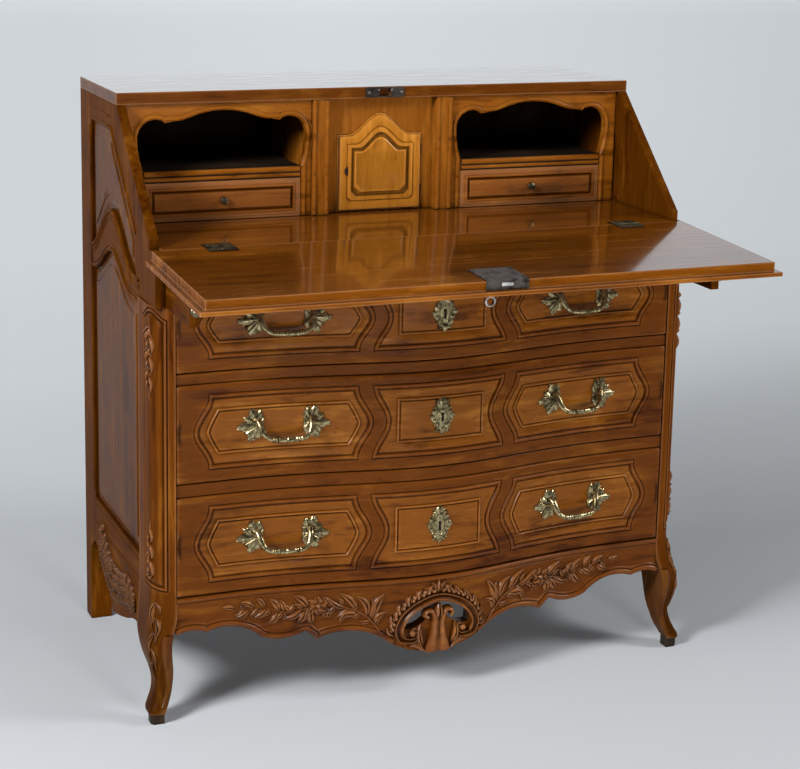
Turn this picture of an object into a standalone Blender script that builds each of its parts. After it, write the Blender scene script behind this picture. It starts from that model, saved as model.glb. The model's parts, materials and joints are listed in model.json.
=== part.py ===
"""Writing bureau: a sloping fall front over a fitted interior, above three bowed drawers on carved legs."""
import math

import bmesh
import bpy
from mathutils import Matrix, Vector

# Clearances, in metres: between fixed pieces, round moving ones, over and under a drawer front, under the fall
GAP = 0.0003
RUN = 0.0008
ABOVE = 0.0010
BELOW = 0.0015
LID_CLEAR = 0.0014

# Across the front, along X
WIDTH = 0.950
POST_W = 0.0347
POST_PROUD = 0.0025
SIDE_T = 0.016
PANEL_SET_BACK = 0.005
PANEL_T = 0.009
HALF = WIDTH / 2
SIDE_IN = HALF - SIDE_T
POST_OUT = HALF + POST_PROUD
POST_IN = POST_OUT - POST_W
FRONT_HALF = POST_IN - RUN
RAIL_HALF = POST_IN - GAP

# Back from the front face of the posts, along Y
DEPTH = 0.500
POST_D = 0.0997
STILE_W = 0.0797
TOP_DEPTH = 0.260
HINGE_Y = 0.021
BACK_T = 0.0125
RAIL_D = 0.060
STILE_Y = DEPTH - STILE_W
TOP_FRONT = DEPTH - TOP_DEPTH
BACK_Y = DEPTH - BACK_T - RUN

# Curved front legs and straight rear feet
LEG_H = 0.215
REAR_FOOT_W = 0.038
REAR_FOOT_D = 0.037
REAR_FOOT_H = 0.120

# Bow of the drawer fronts
BOW = 0.040
BOW_RUN_OUT = 0.008
BOW_SPAN = FRONT_HALF + BOW_RUN_OUT
BOW_STEPS = 24
FRONT_T = 0.022
RAIL_SET_BACK = 0.003

# Fall front: a board with a thin wider lip on its outer face, hanging a little below level when open
FALL_T = 0.015
LIP_T = 0.007
LIP_REACH = 0.010
FALL_DROOP = math.radians(3.0)

# Whole height, and what is stacked in it above the bottom of the drawers, along Z
HEIGHT = 1.000
DRAWER_BASE = 0.2079
BASE_RAIL_H = 0.0184
LOWER_RAIL_H = 0.0214
UPPER_RAIL_H = 0.0182
BED_RAIL_H = 0.0215
BED_T = 0.021
SLOPE_RISE = 0.202
TOP_T = 0.020

# The drawer fronts fill what the rails leave; each is shorter by a step than the one under it
MIDDLE_STEP = 0.0048
TOP_STEP = 0.0146


def stacked(under, clearance, height):
    """Bottom and top of a piece that stands a clearance above the one under it."""
    return (under[1] + clearance, under[1] + clearance + height)


def below_bed(y):
    """Depth of the open fall front's underside below the writing bed, at a place in front of its hinge."""
    thick = FALL_T + LIP_T
    out = (HINGE_Y + thick * math.sin(FALL_DROOP) - y) / math.cos(FALL_DROOP)
    return out * math.sin(FALL_DROOP) + thick * math.cos(FALL_DROOP)


CEILING = HEIGHT - TOP_T
BED_TOP = CEILING - SLOPE_RISE
BED_RAIL_TOP = BED_TOP - LID_CLEAR - below_bed(RAIL_SET_BACK - BOW)
RAILS_H = LOWER_RAIL_H + UPPER_RAIL_H + BED_RAIL_H
FRONTS_H = BED_RAIL_TOP - DRAWER_BASE - RAILS_H - 3 * ABOVE - 2 * BELOW
TOP_H = (FRONTS_H - 2 * TOP_STEP - MIDDLE_STEP) / 3
MIDDLE_H = TOP_H + TOP_STEP
BOTTOM_H = MIDDLE_H + MIDDLE_STEP
BASE_RAIL_Z = (DRAWER_BASE - BELOW - BASE_RAIL_H, DRAWER_BASE - BELOW)
BOTTOM_Z = stacked(BASE_RAIL_Z, BELOW, BOTTOM_H)
LOWER_RAIL_Z = stacked(BOTTOM_Z, ABOVE, LOWER_RAIL_H)
MIDDLE_Z = stacked(LOWER_RAIL_Z, BELOW, MIDDLE_H)
UPPER_RAIL_Z = stacked(MIDDLE_Z, ABOVE, UPPER_RAIL_H)
TOP_Z = stacked(UPPER_RAIL_Z, BELOW, TOP_H)
BED_RAIL_Z = stacked(TOP_Z, ABOVE, BED_RAIL_H)

# Slope that the fall front closes on
SLOPE_RUN = TOP_FRONT - HINGE_Y
SLOPE_TAN = SLOPE_RISE / SLOPE_RUN
SLOPE_ANGLE = math.atan(SLOPE_TAN)
SLOPE_STILE_W = 0.062
STILE_DROP = SLOPE_STILE_W / math.cos(SLOPE_ANGLE)
TOE_RISE = 0.015
SEAT_EASE = 0.0007
SIDE_RAIL_H = 0.045
SIDE_RAIL_Z = CEILING - SIDE_RAIL_H
PANEL_INSET = 0.0183
PANEL_FRONT_Y = POST_D + PANEL_INSET

# Lock of the fall front
LOCK_T = 0.0015
LOCK_HALF = 0.036
LOCK_LENGTH = 0.068
POCKET_D = 0.010
BOLT_HALF = 0.0102
BOLT_T = 0.0058
BOLT_DEPTH = 0.0031
BOLT_LENGTH = 0.0318
BOLT_EASE = 0.0005
BOLT_THROW = 0.011
MORTISE_EASE = 0.0075
KEY_BACKSET = 0.057
KEY_SHANK = 0.0022
KEY_RING = 0.0095
KEY_EYE = 0.0055
KEY_DROP = 0.027
FALL_LENGTH = math.hypot(SLOPE_RUN, SLOPE_RISE) - 2 * (LOCK_T + GAP) - GAP

# Hinge leaves
HINGE_INSET = 0.087
HINGE_L = 0.048
HINGE_LEAF = 0.022
HINGE_T = 0.001

# Lopers, which slide beside the top drawer and carry the fall front
LOPER_H = 0.0577
LOPER_LENGTH = 0.300
LOPER_OUT = 0.135
LOPER_KNOB_DROP = 0.0335
LOPER_X = (POST_IN + RUN, SIDE_IN - RUN)
LOPER_TOP = BED_TOP - below_bed(-LOPER_OUT) - GAP
LOPER_Z = (LOPER_TOP - LOPER_H, LOPER_TOP)
POST_TOP = LOPER_Z[0] - RUN

# Drawer boxes
BOX_WALL = 0.010
BOX_FLOOR = 0.006
BOX_EASE = 0.0025
BOX_DROP = 0.014
BOX_SHORT = 0.017
RUNNER_W = 0.042

# Handles and key plates
HANDLE_INSET = 0.177
HANDLE_RISE = 0.006
HANDLE_X = FRONT_HALF - HANDLE_INSET
HANDLE_HALF = 0.080
HANDLE_DROP = 0.018
HANDLE_OUT = 0.028
HANDLE_LEAF = 0.0265
HANDLE_BAR = 0.0046
PLATE_T = 0.002
PLATE_HALF_W = 0.0235
PLATE_HALF_H = 0.0335

# Front apron and side aprons
APRON_T = 0.020
APRON_TOP = DRAWER_BASE - BELOW
APRON_DROP = 0.133
CARTOUCHE_HALF = 0.085
SIDE_APRON_TOP = 0.250
SIDE_APRON_DROP = 0.173

# Arched middle rails of the sides: depths of their edges below the writing bed and rises of their arches
RAIL_TOP_DROP = 0.060
RAIL_TOP_RISE = 0.082
RAIL_LOW_DROP = 0.102
RAIL_LOW_RISE = 0.051

# Interior behind the fall front
FACE_SET_BACK = 0.008
FACE_T = 0.014
CUPBOARD_HALF = 0.100
DIVIDER_T = 0.0312
DIVIDER_PROUD = 0.005
INNER_STILE = 0.0189
OUTER_STILE = 0.0295
SMALL_H = 0.068
SMALL_WALL = 0.007
SMALL_FRONT = 0.012
SMALL_FLOOR = 0.0052
SMALL_SHORT = 0.027
SHELF_T = 0.020
DOOR_FRAME = 0.0215
DOOR_FRAME_T = 0.012
DOOR_T = 0.0115
DOOR_HEAD = 0.0655
DOOR_RISE = 0.0375
DOOR_OGEE = 0.058
FACE_Y = TOP_FRONT + FACE_SET_BACK
DOOR_Y = FACE_Y + FACE_T + GAP
DOOR_HALF = CUPBOARD_HALF - DOOR_FRAME
DIVIDER_X = (CUPBOARD_HALF, CUPBOARD_HALF + DIVIDER_T)
BAY_X = (DIVIDER_X[1] + INNER_STILE, SIDE_IN - RUN - OUTER_STILE)
BAY_MIDDLE = sum(BAY_X) / 2
BAY_HALF = BAY_X[1] - BAY_MIDDLE
SHELF_Z = (BED_TOP + SMALL_H, BED_TOP + SMALL_H + SHELF_T)

# The open fall front is the furthest point forward, and the origin is under the middle of the whole bureau
FRONT_REACH = (FALL_LENGTH + LIP_REACH) * math.cos(FALL_DROOP) - FALL_T * math.sin(FALL_DROOP) - HINGE_Y
Y_SHIFT = (FRONT_REACH - DEPTH) / 2

MATERIALS = {
    "walnut": ((0.24, 0.105, 0.035), 0.38, 0.0),
    "inner_wood": ((0.36, 0.20, 0.085), 0.60, 0.0),
    "brass": ((0.42, 0.36, 0.20), 0.35, 1.0),
    "iron": ((0.06, 0.06, 0.06), 0.50, 1.0),
    "steel": ((0.50, 0.49, 0.47), 0.35, 1.0),
}


def clear_scene():
    """Start from nothing."""
    for item in list(bpy.data.objects):
        bpy.data.objects.remove(item)


def material(slot):
    """Return the material of a slot, made once."""
    found = bpy.data.materials.get(slot)
    if found:
        return found
    colour, roughness, metallic = MATERIALS[slot]
    made = bpy.data.materials.new(slot)
    made.use_nodes = True
    shader = made.node_tree.nodes["Principled BSDF"]
    shader.inputs["Base Color"].default_value = (*colour, 1.0)
    shader.inputs["Roughness"].default_value = roughness
    shader.inputs["Metallic"].default_value = metallic
    return made


def make(name, bm, slot, pivot=(0.0, 0.0, 0.0)):
    """Turn a shape in case coordinates into a named object whose origin is at its pivot."""
    bmesh.ops.remove_doubles(bm, verts=bm.verts, dist=0.00001)
    bmesh.ops.recalc_face_normals(bm, faces=bm.faces)
    bmesh.ops.translate(bm, verts=bm.verts, vec=-Vector(pivot))
    mesh = bpy.data.meshes.new(name)
    bm.to_mesh(mesh)
    bm.free()
    mesh.materials.append(material(slot))
    made = bpy.data.objects.new(name, mesh)
    made.location = Vector(pivot) + Vector((0.0, Y_SHIFT, 0.0))
    bpy.context.scene.collection.objects.link(made)
    return made


# Shapes
def loft(rings):
    """Skin a stack of rings of equal length and close both ends."""
    bm = bmesh.new()
    rows = [[bm.verts.new(p) for p in ring] for ring in rings]
    count = len(rows[0])
    for low, high in zip(rows, rows[1:]):
        for i in range(count):
            j = (i + 1) % count
            bm.faces.new((low[i], low[j], high[j], high[i]))
    bm.faces.new(rows[0])
    bm.faces.new(rows[-1])
    return bm


def prism(outline, axis, low, high):
    """Extrude a flat outline along X, Y or Z; its points hold the other two coordinates in order."""
    def place(p, along):
        if axis == "X":
            return (along, p[0], p[1])
        if axis == "Y":
            return (p[0], along, p[1])
        return (p[0], p[1], along)
    return loft([[place(p, along) for p in outline] for along in (low, high)])


def box(x, y, z):
    """Box between two limits on each axis."""
    return prism([(x[0], y[0]), (x[1], y[0]), (x[1], y[1]), (x[0], y[1])], "Z", z[0], z[1])


def tray(outer, inner, base, floor, rim):
    """Open box with matching outer and inner plan outlines."""
    return loft([[(x, y, base) for x, y in outer], [(x, y, rim) for x, y in outer],
                 [(x, y, rim) for x, y in inner], [(x, y, floor) for x, y in inner]])


def circle(radius, steps):
    """Points round a circle about nought."""
    turns = [2 * math.pi * i / steps for i in range(steps)]
    return [(radius * math.cos(a), radius * math.sin(a)) for a in turns]


def turned(profile, centre, steps=10):
    """Turn a profile of (distance forward, radius) points about an axis that points to the front."""
    return loft([[(centre[0] + x, centre[1] - forward, centre[2] + z) for x, z in circle(radius, steps)]
                 for forward, radius in profile])


def combine(base, tool, operation):
    """Join a shape to another, or cut it with another."""
    pair = []
    for shape in (base, tool):
        bmesh.ops.recalc_face_normals(shape, faces=shape.faces)
        mesh = bpy.data.meshes.new("work")
        shape.to_mesh(mesh)
        shape.free()
        piece = bpy.data.objects.new("work", mesh)
        bpy.context.scene.collection.objects.link(piece)
        pair.append(piece)
    change = pair[0].modifiers.new("combine", "BOOLEAN")
    change.operation = operation
    change.solver = "EXACT"
    change.object = pair[1]
    result = bmesh.new()
    result.from_object(pair[0], bpy.context.evaluated_depsgraph_get())
    for piece in pair:
        mesh = piece.data
        bpy.data.objects.remove(piece)
        bpy.data.meshes.remove(mesh)
    return result


def flipped(bm, side):
    """Mirror a right-hand shape to the left when side is negative."""
    bmesh.ops.scale(bm, verts=bm.verts, vec=(side, 1.0, 1.0))
    return bm


def arc(start, middle, end, steps=6):
    """Points of the circle through three points, without the last one."""
    (ax, ay), (bx, by), (cx, cy) = start, middle, end
    d = 2 * (ax * (by - cy) + bx * (cy - ay) + cx * (ay - by))
    a2, b2, c2 = ax * ax + ay * ay, bx * bx + by * by, cx * cx + cy * cy
    ux = (a2 * (by - cy) + b2 * (cy - ay) + c2 * (ay - by)) / d
    uy = (a2 * (cx - bx) + b2 * (ax - cx) + c2 * (bx - ax)) / d
    radius = math.hypot(ax - ux, ay - uy)
    first = math.atan2(ay - uy, ax - ux)
    turn_mid = (math.atan2(by - uy, bx - ux) - first) % (2 * math.pi)
    turn_end = (math.atan2(cy - uy, cx - ux) - first) % (2 * math.pi)
    if turn_mid > turn_end:
        turn_end -= 2 * math.pi
    angles = [first + turn_end * i / steps for i in range(steps)]
    return [(ux + radius * math.cos(a), uy + radius * math.sin(a)) for a in angles]


def bell(u):
    """Smooth hump from 0 at -1 to 1 at 0 and back to 0 at 1."""
    return (1 + math.cos(math.pi * u)) / 2 if abs(u) < 1 else 0.0


def bow(x):
    """Forward bulge of the drawer fronts at a place across the case."""
    return -BOW * bell(x / BOW_SPAN) ** 2


def bowed_edge(half, offset):
    """Plan points along the bow, from left to right."""
    xs = [half * (2 * i / BOW_STEPS - 1) for i in range(BOW_STEPS + 1)]
    return [(x, bow(x) + offset) for x in xs]


# Sides of the case
def post_ring(z, inner, outer, front, back):
    """Plan section of a front post, with its outer front corner rounded."""
    w, d = outer - inner, back - front
    plan = [(0.0, 0.0), (0.28, 0.0), (0.62, 0.05), (0.87, 0.18), (1.0, 0.48), (1.0, 1.0), (0.0, 1.0)]
    return [(inner + w * u, front + d * v, z) for u, v in plan]


def front_post(side):
    """Front post that runs down into a cabriole leg with a scrolled toe on a small block."""
    # Height as a share of the leg's, inner and outer edge off the post's as shares of its width, and front
    # and back as shares of its depth
    leg = [
        (0.000, 0.683, 0.288, -0.115, 0.095), (0.081, 0.654, 0.317, -0.125, 0.105),
        (0.086, 0.680, 0.390, -0.165, 0.150), (0.112, 0.620, 0.375, -0.155, 0.195),
        (0.153, 0.490, 0.245, -0.115, 0.235), (0.233, 0.303, 0.043, -0.055, 0.280),
        (0.316, 0.196, -0.029, -0.020, 0.360), (0.395, 0.179, 0.063, -0.030, 0.450),
        (0.493, 0.239, 0.245, -0.065, 0.570), (0.563, 0.274, 0.303, -0.085, 0.660),
        (0.637, 0.245, 0.274, -0.080, 0.820), (0.707, 0.144, 0.187, -0.060, 0.930),
        (0.791, 0.0, 0.101, -0.030, 1.0), (1.0, 0.0, 0.0, 0.0, 1.0), (POST_TOP / LEG_H, 0.0, 0.0, 0.0, 1.0),
    ]
    rings = []
    for height, inner, outer, front, back in leg:
        across = (POST_IN + POST_W * inner, POST_OUT + POST_W * outer)
        rings.append(post_ring(LEG_H * height, *across, POST_D * front, POST_D * back))
    return flipped(loft(rings), side)


def rear_post(side):
    """Flat rear stile that thickens into a straight square foot."""
    foot_x, foot_y = HALF - REAR_FOOT_W, DEPTH - REAR_FOOT_D
    thick_x, thick_y = SIDE_IN - 0.24 * REAR_FOOT_W, STILE_Y + 0.25 * STILE_W
    sections = [(0.0, foot_x, foot_y), (REAR_FOOT_H, foot_x, foot_y),
                (1.17 * REAR_FOOT_H, foot_x + 0.1 * REAR_FOOT_W, foot_y - 0.1 * REAR_FOOT_D),
                (1.32 * REAR_FOOT_H, thick_x, thick_y), (1.38 * REAR_FOOT_H, SIDE_IN, STILE_Y),
                (CEILING - GAP, SIDE_IN, STILE_Y)]
    rings = [[(x, y, z), (HALF, y, z), (HALF, DEPTH, z), (x, DEPTH, z)] for z, x, y in sections]
    return flipped(loft(rings), side)


def slope(y):
    """Height of the sloping plane on which the fall front closes."""
    return BED_TOP + (y - HINGE_Y) * SLOPE_TAN


SIDE_SPAN = STILE_Y - POST_D
SIDE_ARCH_Y = [POST_D + GAP + (SIDE_SPAN - 3 * GAP) * i / 20 for i in range(21)]
UPPER_ARCH_Y = [PANEL_FRONT_Y + GAP] + [y for y in SIDE_ARCH_Y if y > PANEL_FRONT_Y + 5 * GAP]
ARCH_PEAK_Y = POST_D + 0.562 * SIDE_SPAN
RAIL_TOP_Z = BED_TOP - RAIL_TOP_DROP
RAIL_LOW_Z = BED_TOP - RAIL_LOW_DROP


def rail_top(y):
    """Upper edge of the arched middle rail."""
    return RAIL_TOP_Z + RAIL_TOP_RISE * bell((y - ARCH_PEAK_Y) / (0.468 * SIDE_SPAN))


def rail_bottom(y):
    """Lower edge of the arched middle rail."""
    return RAIL_LOW_Z + RAIL_LOW_RISE * bell((y - ARCH_PEAK_Y) / (0.405 * SIDE_SPAN))


def side_rail_front():
    """Where the sloping stile meets the top rail of a side."""
    return HINGE_Y + (SIDE_RAIL_Z + STILE_DROP - BED_TOP) / SLOPE_TAN


def slope_stile(side):
    """Block beside the loper, toe, sloping stile and top rail of a side, in one outline."""
    toe_y = HINGE_Y + TOE_RISE / SLOPE_TAN
    back_y = HINGE_Y + RUN
    block_top = BED_TOP - below_bed(0.0) - RUN
    outline = [
        (0.0, POST_TOP + GAP), (0.0, block_top), (back_y, block_top), (back_y, BED_TOP - RUN),
        (toe_y, BED_TOP - RUN), (toe_y, BED_TOP + TOE_RISE - SEAT_EASE),
        (TOP_FRONT, CEILING - SEAT_EASE), (TOP_FRONT + GAP, CEILING - GAP),
        (STILE_Y - GAP, CEILING - GAP), (STILE_Y - GAP, SIDE_RAIL_Z), (side_rail_front(), SIDE_RAIL_Z),
        (PANEL_FRONT_Y, slope(PANEL_FRONT_Y) - STILE_DROP), (PANEL_FRONT_Y, RAIL_TOP_Z + GAP),
        (POST_D, RAIL_TOP_Z + GAP), (POST_D, POST_TOP + GAP),
    ]
    return flipped(prism(outline, "X", SIDE_IN, HALF), side)


def middle_rail(side):
    """Arched rail between the two panels of a side."""
    outline = [(y, rail_bottom(y)) for y in SIDE_ARCH_Y] + [(y, rail_top(y)) for y in SIDE_ARCH_Y[::-1]]
    return flipped(prism(outline, "X", SIDE_IN, HALF), side)


def panel(outline, side):
    """Thin panel set back from the outer face of a side."""
    outer = HALF - PANEL_SET_BACK
    return flipped(prism(outline, "X", outer - PANEL_T, outer), side)


def upper_panel(side):
    """Panel under the slope, with its lower edge arched."""
    outline = [(y, rail_top(y) + 2 * GAP) for y in UPPER_ARCH_Y]
    outline += [(STILE_Y - 2 * GAP, SIDE_RAIL_Z - GAP), (side_rail_front() + GAP, SIDE_RAIL_Z - GAP)]
    outline += [(PANEL_FRONT_Y + GAP, slope(PANEL_FRONT_Y) - STILE_DROP - GAP)]
    return panel(outline, side)


def lower_panel(side):
    """Tall panel with an arched head."""
    foot = SIDE_APRON_TOP + GAP
    outline = [(y, rail_bottom(y) - GAP) for y in SIDE_ARCH_Y[::-1]]
    outline += [(SIDE_ARCH_Y[0], foot), (SIDE_ARCH_Y[-1], foot)]
    return panel(outline, side)


def side_apron(side):
    """Bottom rail of a side with its scrolled apron."""
    front, back = POST_D + GAP, STILE_Y - GAP

    def at(share, drop):
        return (front + (back - front) * share, SIDE_APRON_TOP - SIDE_APRON_DROP * drop)
    outline = [at(1.0, 0.0), at(0.0, 0.0)]
    outline += arc(at(0.0, 0.740), at(0.141, 0.746), at(0.272, 0.827))
    outline += arc(at(0.272, 0.827), at(0.469, 0.936), at(0.625, 1.0))
    outline += arc(at(0.625, 1.0), at(0.775, 0.694), at(1.0, 0.503))
    outline += [at(1.0, 0.503)]
    return flipped(prism(outline, "X", SIDE_IN, HALF), side)


# Front apron
def apron_edge():
    """Scalloped lower edge of the front apron, from the middle to the right end."""
    def at(share, drop):
        return (CARTOUCHE_HALF + (RAIL_HALF - CARTOUCHE_HALF) * share, APRON_TOP - APRON_DROP * drop)
    middle = [(0.0, APRON_TOP - APRON_DROP), (0.53 * CARTOUCHE_HALF, APRON_TOP - 0.959 * APRON_DROP)]
    points = arc(*middle, at(0.0, 0.831))
    points += arc(at(0.0, 0.831), at(0.154, 0.647), at(0.338, 0.722))
    points += [at(0.338, 0.722)]
    points += arc(at(0.392, 0.598), at(0.476, 0.671), at(0.601, 0.620))
    points += arc(at(0.601, 0.620), at(0.727, 0.444), at(0.861, 0.474))
    points += arc(at(0.861, 0.474), at(0.923, 0.432), at(1.0, 0.466))
    return points + [at(1.0, 0.466)]


def crescent():
    """Opening beside the carved column of the cartouche, on the right."""
    def at(across, drop):
        return (CARTOUCHE_HALF * across, APRON_TOP - APRON_DROP * drop)
    foot, head = at(0.40, 0.756), at(0.365, 0.312)
    return arc(foot, at(0.68, 0.538), head, 8) + arc(head, at(0.224, 0.538), foot)


def front_apron():
    """Bowed apron with a scalloped edge and two crescent openings."""
    edge = apron_edge()
    end = edge[-1][0]
    outline = [(-x, z) for x, z in edge[:0:-1]] + edge + [(end, APRON_TOP), (-end, APRON_TOP)]
    bm = prism(outline, "Y", 0.0, APRON_T)
    for side in (1, -1):
        hole = prism([(side * x, z) for x, z in crescent()], "Y", -APRON_T, 2 * APRON_T)
        bm = combine(bm, hole, "DIFFERENCE")
    for i in range(1, BOW_STEPS):
        x = FRONT_HALF * (2 * i / BOW_STEPS - 1)
        everything = bm.verts[:] + bm.edges[:] + bm.faces[:]
        bmesh.ops.bisect_plane(bm, geom=everything, dist=0.0002, plane_co=(x, 0, 0), plane_no=(1, 0, 0))
    for vert in bm.verts:
        vert.co.y += bow(vert.co.x)
    return bm


# Top, bed and inside frames
def mortise():
    """Hole in the front edge of the top for the lock bolt."""
    half = BOLT_HALF + RUN
    low = CEILING + BOLT_DEPTH
    y = (TOP_FRONT - BOLT_THROW, TOP_FRONT + BOLT_THROW)
    return box((-half, half), y, (low, low + BOLT_T + MORTISE_EASE))


def top_board():
    """Top board with the mortise that takes the lock bolt."""
    bm = box((-HALF, HALF), (TOP_FRONT, DEPTH), (CEILING, HEIGHT))
    return combine(bm, mortise(), "DIFFERENCE")


def drawer_frame(z, front):
    """Front rail with a runner along each side."""
    inner, back = FRONT_HALF - RUNNER_W, BACK_Y - 10 * GAP
    outline = bowed_edge(RAIL_HALF, front)
    outline += [(RAIL_HALF, back), (inner, back), (inner, RAIL_D)]
    outline += [(-inner, RAIL_D), (-inner, back), (-RAIL_HALF, back)]
    return prism(outline, "Z", z[0], z[1])


def bed_rail():
    """Bowed rail over the top drawer, with a step at its back that meets the writing bed."""
    ends = (-RAIL_HALF, RAIL_HALF)
    outline = bowed_edge(RAIL_HALF, RAIL_SET_BACK) + [(RAIL_HALF, RAIL_D), (-RAIL_HALF, RAIL_D)]
    strip = prism(outline, "Z", *BED_RAIL_Z)
    middle = sum(BED_RAIL_Z) / 2
    return combine(strip, box(ends, (RAIL_D / 2, RAIL_D), (middle, BED_TOP - BED_T - GAP)), "UNION")


# Fitted interior
def bay_arch():
    """Right half of the scalloped head of a pigeonhole, from its top down, about the middle of the bay."""
    def at(across, up):
        return (BAY_HALF * across, SHELF_Z[1] + (CEILING - SHELF_Z[1]) * up)
    points = arc(at(0.0, 0.877), at(0.215, 0.851), at(0.431, 0.772), 4)
    points += arc(at(0.431, 0.772), at(0.589, 0.728), at(0.718, 0.737), 3)
    points += [at(0.726, 0.706)]
    points += arc(at(0.762, 0.746), at(0.955, 0.728), at(1.066, 0.526), 5)
    points += arc(at(1.066, 0.526), at(1.052, 0.254), at(1.0, 0.0), 3)
    return points + [at(1.0, 0.0), (BAY_HALF, BED_TOP + GAP)]


def bay_front(side):
    """Pierced front of the pigeonhole and small drawer on one side."""
    half = bay_arch()
    inner, outer = DIVIDER_X[1] + GAP, SIDE_IN - RUN
    foot, head = BED_TOP + GAP, CEILING - GAP
    outline = [(BAY_MIDDLE - x, z) for x, z in half[:0:-1]] + [(BAY_MIDDLE + x, z) for x, z in half]
    outline += [(outer, foot), (outer, head), (inner, head), (inner, foot)]
    return flipped(prism(outline, "Y", FACE_Y, FACE_Y + FACE_T), side)


def door_outline(ease, foot):
    """Arched outline of the cupboard door, or of its opening when eased outwards."""
    half, shoulder = DOOR_HALF + ease, CEILING - DOOR_HEAD + ease
    ogee = [(DOOR_OGEE * i / 6, shoulder + DOOR_RISE * bell(i / 6) ** 0.9) for i in range(7)]
    right = ogee + [(half, shoulder), (half, foot)]
    return [(-x, z) for x, z in right[:0:-1]] + right


def cupboard_frame():
    """Arched frame of the cupboard between two pilasters that run back as dividers."""
    z = (BED_TOP + GAP, CEILING - GAP)
    lap = DIVIDER_T / 3
    back = DOOR_Y + DOOR_FRAME_T
    bm = box((-CUPBOARD_HALF - lap, CUPBOARD_HALF + lap), (DOOR_Y, back), z)
    opening = prism(door_outline(RUN, BED_TOP - BED_T), "Y", DOOR_Y - BED_T, back + BED_T)
    bm = combine(bm, opening, "DIFFERENCE")
    for side in (1, -1):
        divider = flipped(box(DIVIDER_X, (FACE_Y - DIVIDER_PROUD, BACK_Y - GAP), z), side)
        bm = combine(bm, divider, "UNION")
    return bm


def cupboard_door():
    """Arched door of the cupboard."""
    return prism(door_outline(0.0, BED_TOP + 4 * GAP), "Y", DOOR_Y, DOOR_Y + DOOR_T)


def small_drawer(side):
    """Small drawer with a thick front."""
    left, right = BAY_X[0] + RUN, BAY_X[1] - RUN
    front, back, wall = FACE_Y + GAP, BACK_Y - SMALL_SHORT, SMALL_WALL
    outer = [(left, front), (right, front), (right, back), (left, back)]
    inner = [(left + wall, front + SMALL_FRONT), (right - wall, front + SMALL_FRONT),
             (right - wall, back - wall), (left + wall, back - wall)]
    base = BED_TOP + RUN
    return flipped(tray(outer, inner, base, base + SMALL_FLOOR, SHELF_Z[0] - RUN), side)


# Fall front and its fittings, drawn level about the hinge and then tipped
def fall_box(x, s, t):
    """Box on the fall front: s runs out from the hinge and t up from the writing face."""
    return box(x, (-s[1], -s[0]), t)


def tipped(bm):
    """Tip a shape drawn about the hinge to the open position of the fall front."""
    bmesh.ops.rotate(bm, verts=bm.verts, cent=(0, 0, 0), matrix=Matrix.Rotation(FALL_DROOP, 3, "X"))
    bmesh.ops.translate(bm, verts=bm.verts, vec=(0.0, HINGE_Y, BED_TOP))
    return bm


def fall_spot(s, t):
    """Place on the open fall front, in case coordinates."""
    return tuple(Matrix.Rotation(FALL_DROOP, 3, "X") @ Vector((0.0, -s, t)) + Vector((0.0, HINGE_Y, BED_TOP)))


KEY_S = FALL_LENGTH - KEY_BACKSET
FALL_UNDER = -FALL_T - LIP_T


def fall_front():
    """Writing board with a lip round three sides, a pocket for the bolt and a keyhole."""
    def ring(half, near, far, t):
        return [(-half, -far, t), (half, -far, t), (half, -near, t), (-half, -near, t)]
    wide, near, far = HALF + LIP_REACH, 0.004, FALL_LENGTH + LIP_REACH
    bm = loft([ring(wide, near, far, FALL_UNDER), ring(wide, near, far, -FALL_T),
               ring(HALF, BOLT_EASE, FALL_LENGTH, -FALL_T), ring(HALF, BOLT_EASE, FALL_LENGTH, 0.0)])
    half, pocket_end = BOLT_HALF + 2 * BOLT_EASE, FALL_LENGTH - LOCK_LENGTH + 0.004
    pocket = fall_box((-half, half), (pocket_end, FALL_LENGTH + FALL_T), (-POCKET_D, FALL_T))
    bm = combine(bm, pocket, "DIFFERENCE")
    hole = [(x, y - KEY_S) for x, y in circle(KEY_SHANK + 4 * GAP / 3, 12)]
    return tipped(combine(bm, prism(hole, "Z", 2 * FALL_UNDER, -POCKET_D / 2), "DIFFERENCE"))


def fall_lock():
    """Lock plate folded over the end of the fall front, slotted for the bolt."""
    near, end, out = FALL_LENGTH - LOCK_LENGTH, FALL_LENGTH + GAP, FALL_LENGTH + GAP + LOCK_T
    lower = RUN - FALL_T
    outline = [(-near, GAP), (-near, GAP + LOCK_T), (-out, GAP + LOCK_T)]
    outline += [(-out, lower), (-end, lower), (-end, GAP)]
    bm = prism(outline, "X", -LOCK_HALF, LOCK_HALF)
    half, top, bottom = BOLT_HALF + BOLT_EASE, BOLT_EASE - BOLT_DEPTH, -BOLT_DEPTH - BOLT_T - BOLT_EASE
    slot = fall_box((-half, half), (end - FALL_T, out + FALL_T), (bottom, top))
    return tipped(combine(bm, slot, "DIFFERENCE"))


def lock_bolt():
    """Bolt that slides out of the end of the fall front."""
    end = FALL_LENGTH + GAP + LOCK_T
    depth = (-BOLT_DEPTH - BOLT_T, -BOLT_DEPTH)
    return tipped(fall_box((-BOLT_HALF, BOLT_HALF), (end - BOLT_LENGTH, end), depth))


def key():
    """Key with a ring bow, hanging under the open fall front."""
    centre, half = FALL_UNDER - KEY_DROP, 0.7 * KEY_SHANK
    bow_plate = prism([(x, centre + z) for x, z in circle(KEY_RING, 16)], "Y", -half - KEY_S, half - KEY_S)
    eye = prism([(x, centre + z) for x, z in circle(KEY_EYE, 12)], "Y", -KEY_RING - KEY_S, KEY_RING - KEY_S)
    ring = combine(bow_plate, eye, "DIFFERENCE")
    outline = [(x, y - KEY_S) for x, y in circle(KEY_SHANK, 12)]
    shank = prism(outline, "Z", centre + (KEY_EYE + KEY_RING) / 2, GAP - POCKET_D)
    return tipped(combine(ring, shank, "UNION"))


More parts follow.
